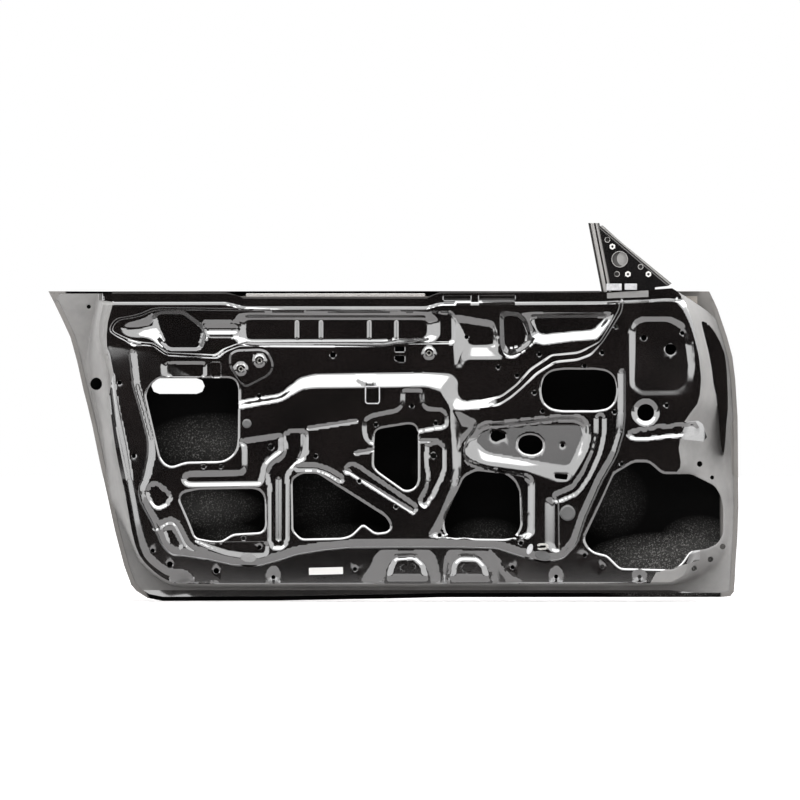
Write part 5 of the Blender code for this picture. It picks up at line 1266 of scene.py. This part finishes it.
def inside_group():
    """Where the skin shows its inner side, inside its folded edge, and the patches of painted light there,
    where light falls through the openings and its dust specks lie.
    """
    group, _, end = new_group("inside", {}, ["Mask", "Low"])
    x, _, z = split(group, own_coordinates(group))
    _, facing, _ = split(group, own_normal(group))
    mask = calculated(group, "LESS_THAN", facing, 0)
    for along, above, low, high in INSIDE_LIMITS:
        total = calculated(group, "MULTIPLY_ADD", z, above, calculated(group, "MULTIPLY", x, along))
        mask = calculated(group, "MULTIPLY", mask, ranged(group, total, (low, high)))
    group.links.new(mask, end["Mask"])
    light_and_dust = 0
    for column, row, half_width, half_height, strength in LIGHT_AND_DUST_PATCHES:
        centre = spot((column, row))
        size = spot((column + half_width, row - half_height)) - centre
        patch = group.nodes.new("ShaderNodeTexGradient")
        patch.gradient_type = "SPHERICAL"
        group.links.new(centred(group, centre, size), patch.inputs["Vector"])
        light_and_dust = calculated(group, "MULTIPLY_ADD", patch.outputs["Fac"], strength, light_and_dust)
    group.links.new(light_and_dust, end["Low"])
    return group


DUST = dust_group()
INSIDE = inside_group()
MOTTLE = mottle_group()


def coating(
    name, colour, second, roughness, metallic=0.0, coat=0.0, dust=0.0, peel=0.02, scale=6.0, ior=1.5
):
    """Paint or plating: two colours mixed by slow mottling, specks of dust, and a fine bump."""
    material = bpy.data.materials.new(name)
    material.use_nodes = True
    tree = material.node_tree
    shader = tree.nodes["Principled BSDF"]
    shader.inputs["Metallic"].default_value = metallic
    shader.inputs["Coat Weight"].default_value = coat
    shader.inputs["Coat Roughness"].default_value = COAT_ROUGHNESS
    shader.inputs["IOR"].default_value = ior
    mottle = placed(tree, MOTTLE, Scale=scale, Contrast=MOTTLE_CONTRAST)
    paint = mixed(tree, mottle["Value"], (*colour, 1), (*second, 1))
    dusty = mixed(tree, placed(tree, DUST, Amount=dust)["Mask"], paint, DUST_COLOUR)
    tree.links.new(dusty, shader.inputs["Base Color"])
    glossiest = roughness * (1 - GLOSS_SPREAD)
    dullest = roughness * (1 + GLOSS_SPREAD)
    tree.links.new(ranged(tree, mottle["Value"], after=(glossiest, dullest)), shader.inputs["Roughness"])
    bump = tree.nodes.new("ShaderNodeBump")
    bump.inputs["Strength"].default_value = peel
    bump.inputs["Distance"].default_value = PEEL_DEPTH
    tree.links.new(mottle["Peel"], bump.inputs["Height"])
    tree.links.new(bump.outputs["Normal"], shader.inputs["Normal"])
    return material


def skin_coating():
    """Bare grey primer on the fold and the outer side; on the inner side, near-black painted shade and
    patches of painted light with dust specks in them.
    """
    material = coating("skin_primer", (0.26, 0.25, 0.24), (0.20, 0.192, 0.184), 0.42, dust=0.3)
    tree = material.node_tree
    shader = tree.nodes["Principled BSDF"]
    shader.inputs["Specular IOR Level"].default_value = 0.0
    colour = shader.inputs["Base Color"]
    inside = placed(tree, INSIDE)
    powder = placed(tree, DUST, Scale=330, Amount=1.8, Sparse=0.53)
    light_and_dust = calculated(tree, "MULTIPLY", powder["Mask"], inside["Low"])
    # Painted shade and light on the skin's inner side: near black in the shade behind the panel, lighter in
    # the patches where light falls through the openings
    painted_shade_and_light = mixed(tree, inside["Low"], (0.0035, 0.0035, 0.0035, 1), (0.07, 0.069, 0.067, 1))
    specks = mixed(tree, light_and_dust, painted_shade_and_light, (0.40, 0.39, 0.375, 1))
    tree.links.new(mixed(tree, inside["Mask"], colour.links[0].from_socket, specks), colour)
    return material


def warm_grey(value):
    return (value, value * 0.98, value * 0.95, 1)


def across(tree, start, end):
    """Distance from the line through two pixels, to its right as seen going from start to end."""
    first = spot(start)
    way = spot(end) - first
    side = np.array([-way[1], way[0]]) / -np.linalg.norm(way)
    moved = vector_step(tree, "SUBTRACT", own_coordinates(tree), in_frame(first))["Vector"]
    return vector_step(tree, "DOT_PRODUCT", moved, (side[0], 0, side[1]))["Value"]


def highlight_striped(material, line, width, stops):
    """Lays painted highlights over a coating, as stripes of light and dark side by side from a line."""
    tree = material.node_tree
    colour = tree.nodes["Principled BSDF"].inputs["Base Color"]
    highlights = tree.nodes.new("ShaderNodeValToRGB")
    ramp_stops = highlights.color_ramp.elements
    for position, _ in stops[1:-1]:
        ramp_stops.new(position)
    for element, (position, value) in zip(ramp_stops, stops):
        element.position = position
        element.color = warm_grey(value)
    tree.links.new(calculated(tree, "DIVIDE", across(tree, *line), width), highlights.inputs["Fac"])
    lit = mixed(tree, 1, colour.links[0].from_socket, highlights.outputs["Color"], blend="ADD")
    tree.links.new(lit, colour)


def ringed(material, circles, inner, outer, value):
    """Colours a ring from inner to outer beyond each circle's radius, which is a dot if inner is -outer."""
    tree = material.node_tree
    colour = tree.nodes["Principled BSDF"].inputs["Base Color"]
    where = own_coordinates(tree)
    for column, row, radius in circles:
        away = vector_step(tree, "SUBTRACT", where, in_frame(spot((column, row))))["Vector"]
        flat = vector_step(tree, "MULTIPLY", away, (1, 0, 1))["Vector"]
        reach = vector_step(tree, "LENGTH", flat)["Value"]
        mask = calculated(tree, "COMPARE", reach, radius + (inner + outer) / 2, (outer - inner) / 2)
        tree.links.new(mixed(tree, mask, colour.links[0].from_socket, warm_grey(value)), colour)


def mirror_back(material):
    """The mirror plate's rear sheet, which shows through its holes."""
    outline = inset(place(MIRROR_BACK_PIXELS), PANEL_SHEET)
    corners, faces = cut_sheet(outline, [], [], np.empty((0, 2)))
    depths = np.full(len(corners), MIRROR_BACK_Y - DOOR_SHIFT[1])
    sheet = sheet_object("mirror_plate_back", corners, depths, faces, SKIN_SHEET)
    sheet.data.materials.append(material)
    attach(sheet, "root")


def dress(material, *names):
    """Gives carried-over nodes their material."""
    for name in names:
        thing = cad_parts[name]
        thing.data.materials.clear()
        thing.data.materials.append(material)


def finishes():
    """Materials of the carried-over nodes, and the mirror plate's rear sheet."""
    black = coating("rail_black", (0.012, 0.011, 0.011), (0.02, 0.017, 0.015), 0.35, coat=0.3)
    tan = coating("rail_primer", (0.46, 0.42, 0.38), (0.38, 0.34, 0.30), 0.5, dust=0.6)
    zinc = coating("zinc", (0.62, 0.61, 0.58), (0.5, 0.49, 0.46), 0.28, metallic=1.0, scale=40)
    nylon = coating("nylon", (0.62, 0.62, 0.63), (0.24, 0.24, 0.25), 0.5, scale=90)
    rubber = coating("rubber", (0.03, 0.03, 0.03), (0.05, 0.05, 0.05), 0.6, dust=0.8, scale=30)
    pale = coating("pale_rubber", (0.20, 0.20, 0.20), (0.14, 0.14, 0.14), 0.6, dust=0.8, scale=60)
    pile = coating("pile", (0.46, 0.44, 0.42), (0.2, 0.19, 0.18), 0.9, dust=1.0, scale=300, peel=0.8)
    gloss = coating("mirror_black", (0.006, 0.006, 0.006), (0.012, 0.011, 0.011), 0.10, coat=0.8)
    # Painted highlights on the rims round the mirror plate's holes
    ringed(gloss, MIRROR_HOLES, 0.0, MIRROR_RIM_HIGHLIGHT_WIDTH, 0.42)
    # Painted highlights along the mirror plate's fold
    highlight_striped(gloss, MIRROR_FOLD_PIXELS, MIRROR_FOLD_WIDTH, MIRROR_FOLD_HIGHLIGHTS)
    channel = coating("channel_black", (0.008, 0.008, 0.008), (0.015, 0.013, 0.012), 0.12, coat=0.6)
    # Painted highlights along the glass channel's folds
    highlight_striped(channel, CHANNEL_EDGE_PIXELS, CHANNEL_WIDTH, CHANNEL_FOLD_HIGHLIGHTS)
    nuts = coating("nut_zinc", (0.80, 0.79, 0.77), (0.62, 0.61, 0.58), 0.4, scale=60)
    # Painted shade: a dark dot in each nut's bore
    ringed(nuts, MIRROR_NUTS, -NUT_BORE_SHADE_RADIUS, NUT_BORE_SHADE_RADIUS, 0.03)
    behind = coating("mirror_tan", (0.020, 0.019, 0.018), (0.05, 0.046, 0.043), 0.6, dust=0.8, scale=60)
    ringed(behind, MIRROR_PATCHES, -MIRROR_PATCH_RADIUS, MIRROR_PATCH_RADIUS, 0.30)
    mirror_back(behind)
    dress(skin_coating(), "outer_skin")
    dress(tan, "belt_rail_outer")
    dress(black, "belt_rail_inner")
    dress(pile, "belt_sweep")
    dress(gloss, "mirror_plate")
    dress(channel, "front_glass_channel")
    dress(nuts, "mirror_nut_upper", "mirror_nut_lower_rear", "mirror_nut_lower_front")
    dress(zinc, "weld_nut_pad_rear", "weld_nut_pad_front", "weld_nut_pull", "harness_clip")
    dress(nylon, "mirror_foot_rear", "mirror_foot_front", "trim_clip", "harness_lug")
    dress(rubber, "blanking_plug_rear", "blanking_plug_front", "groove_pad_front")
    dress(pale, "groove_pad_rear")


def label_mask(tree):
    """1 on the small blank label, and 0 beside it."""
    x, _, z = split(tree, centred(tree, spot(LABEL_PIXEL), (LABEL_LENGTH, LABEL_HEIGHT), LABEL_TURN))
    sides = [calculated(tree, "LESS_THAN", calculated(tree, "ABSOLUTE", size), 0.5) for size in (x, z)]
    return calculated(tree, "MULTIPLY", *sides)


def panel_paint():
    """Gloss black electro-coat with a faint brown cast, dull primer with painted shade where it faces up,
    and the label's pale patch.
    """
    black = (0.0045, 0.0042, 0.0042)
    brown = (0.0085, 0.0062, 0.0056)
    material = coating("panel_black", black, brown, 0.10, coat=1.0, dust=0.06, ior=1.9)
    tree = material.node_tree
    shader = tree.nodes["Principled BSDF"]
    colour = shader.inputs["Base Color"]
    roughness = shader.inputs["Roughness"]
    primer = tree.nodes.new("ShaderNodeAttribute")
    primer.attribute_name = "primer"
    bare = primer.outputs["Fac"]
    cloud = placed(tree, MOTTLE, Scale=14, Contrast=2.6)["Value"]
    greys = mixed(tree, cloud, (0.112, 0.107, 0.102, 1), (0.056, 0.053, 0.050, 1))
    _, _, upward = split(tree, own_normal(tree))
    # Painted shade: the primer turns darker where it faces up
    shaded_facing_up = mixed(tree, upward, greys, (0.04, 0.038, 0.036, 1))
    paint = mixed(tree, bare, colour.links[0].from_socket, shaded_facing_up)
    tree.links.new(mixed(tree, label_mask(tree), paint, (0.85, 0.84, 0.82, 1)), colour)
    blunt = mixed(tree, bare, roughness.links[0].from_socket, 0.8, kind="FLOAT")
    tree.links.new(blunt, roughness)
    tree.links.new(calculated(tree, "SUBTRACT", 1, bare), shader.inputs["Coat Weight"])
    return material


# Studio

def glow(name, strength):
    """A material that gives off an even white light."""
    material = bpy.data.materials.new(name)
    material.use_nodes = True
    nodes = material.node_tree.nodes
    nodes.remove(nodes["Principled BSDF"])
    emission = nodes.new("ShaderNodeEmission")
    emission.inputs["Color"].default_value = (1, 1, 1, 1)
    emission.inputs["Strength"].default_value = strength
    material.node_tree.links.new(emission.outputs[0], nodes["Material Output"].inputs["Surface"])
    return material


def card(name, centre, size, turn, material):
    """Flat studio card that only reflections see."""
    bpy.ops.object.select_all(action="DESELECT")
    bpy.ops.mesh.primitive_plane_add(size=1, location=centre, rotation=turn)
    thing = bpy.context.object
    thing.name = name
    thing.scale = (size[0], size[1], 1)
    thing.data.materials.append(material)
    thing.visible_camera = False
    thing.visible_diffuse = False
    thing.visible_transmission = False
    thing.visible_shadow = False


def lamp(name, centre, aim, size, power):
    """A rectangular lamp that is turned to a point."""
    data = bpy.data.lights.new(name, "AREA")
    data.shape = "RECTANGLE"
    data.size = size[0]
    data.size_y = size[1]
    data.energy = power
    thing = bpy.data.objects.new(name, data)
    bpy.context.scene.collection.objects.link(thing)
    thing.location = centre
    thing.rotation_euler = (Vector(aim) - Vector(centre)).to_track_quat("-Z", "Y").to_euler()
    return thing


def surroundings():
    """White for the camera, gloss and what is seen through, and dimmer for the light they cast."""
    world = bpy.data.worlds.new("studio")
    bpy.context.scene.world = world
    world.use_nodes = True
    tree = world.node_tree
    background = tree.nodes["Background"]
    rays = tree.nodes.new("ShaderNodeLightPath").outputs
    seen = calculated(tree, "ADD", rays["Is Camera Ray"], rays["Is Glossy Ray"])
    seen = calculated(tree, "ADD", seen, rays["Is Transmission Ray"], clamp=True)
    background.inputs["Color"].default_value = (1, 1, 1, 1)
    tree.links.new(ranged(tree, seen, after=(0.30, 1.0)), background.inputs["Strength"])


def pale_floor():
    """A floor just under the door that glows more the further off it is."""
    bpy.ops.object.select_all(action="DESELECT")
    bpy.ops.mesh.primitive_plane_add(size=80, location=(0, 0, FLOOR_Z))
    floor = bpy.context.object
    floor.name = "floor"
    material = bpy.data.materials.new("floor_white")
    material.use_nodes = True
    tree = material.node_tree
    shader = tree.nodes["Principled BSDF"]
    shader.inputs["Base Color"].default_value = (0.92, 0.90, 0.90, 1)
    shader.inputs["Roughness"].default_value = 0.9
    shader.inputs["Specular IOR Level"].default_value = 0.0
    shader.inputs["Emission Color"].default_value = (1, 1, 1, 1)
    reach = vector_step(tree, "LENGTH", own_coordinates(tree))["Value"]
    tree.links.new(ranged(tree, reach, (0.7, 2.4), (0.45, 1.0)), shader.inputs["Emission Strength"])
    floor.data.materials.append(material)


def studio():
    """Pale floor, white surroundings, two soft lamps, and the cards that the gloss reflects."""
    bpy.context.scene.view_settings.view_transform = "Standard"
    surroundings()
    pale_floor()
    lamp("top_lamp", (0.1, -0.5, 3.0), (0, 0, 0.3), (3.2, 2.2), 95)
    front = lamp("front_lamp", (0.0, -4.5, 2.6), (0, 0, 0.3), (3.0, 1.5), 60)
    front.visible_glossy = False
    card("top_card", (0, 0.2, 2.6), (7, 7.0), LEVEL, glow("top_glow", 9))
    card("front_card", (0, -6.4, 2.6), (9, 6.2), LEVEL, glow("front_glow", 3.5))
    card("left_card", (-4.6, -9.0, 2.0), (4.2, 24.0), ON_END, glow("left_glow", 3.6))
    card("right_card", (4.6, -9.0, 2.0), (4.2, 24.0), ON_END, glow("right_glow", 3.6))
    side_glow = glow("side_foot_glow", 3.2)
    card("left_foot_card", (-3.1, -1.6, 0.003), (3.8, 8), LEVEL, side_glow)
    card("right_foot_card", (3.1, -1.6, 0.003), (3.8, 8), LEVEL, side_glow)
    card("dark_card", (0, -29, 0), (11, 10), UPRIGHT, glow("dark_glow", 0.0))
    card("dark_foot_card", (0, -15.2, 0.004), (60, 27), LEVEL, glow("dark_foot_glow", 0.0))


def camera():
    """Straight-on long-lens view, 2 mm of door to a pixel of 800."""
    data = bpy.data.cameras.new("straight_on")
    data.lens = LENS
    data.sensor_width = SENSOR_WIDTH
    data.clip_end = 100
    thing = bpy.data.objects.new("straight_on", data)
    bpy.context.scene.collection.objects.link(thing)
    x, _, z = in_frame(spot((400, 400)))
    thing.location = (x, VIEW_Y - VIEW_WIDTH * data.lens / data.sensor_width, z)
    thing.rotation_euler = (math.pi / 2, 0, 0)
    bpy.context.scene.camera = thing


panel = press_inner_panel()
panel.data.materials.append(panel_paint())
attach(panel, "root")
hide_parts("inner_panel")
finishes()
studio()
camera()
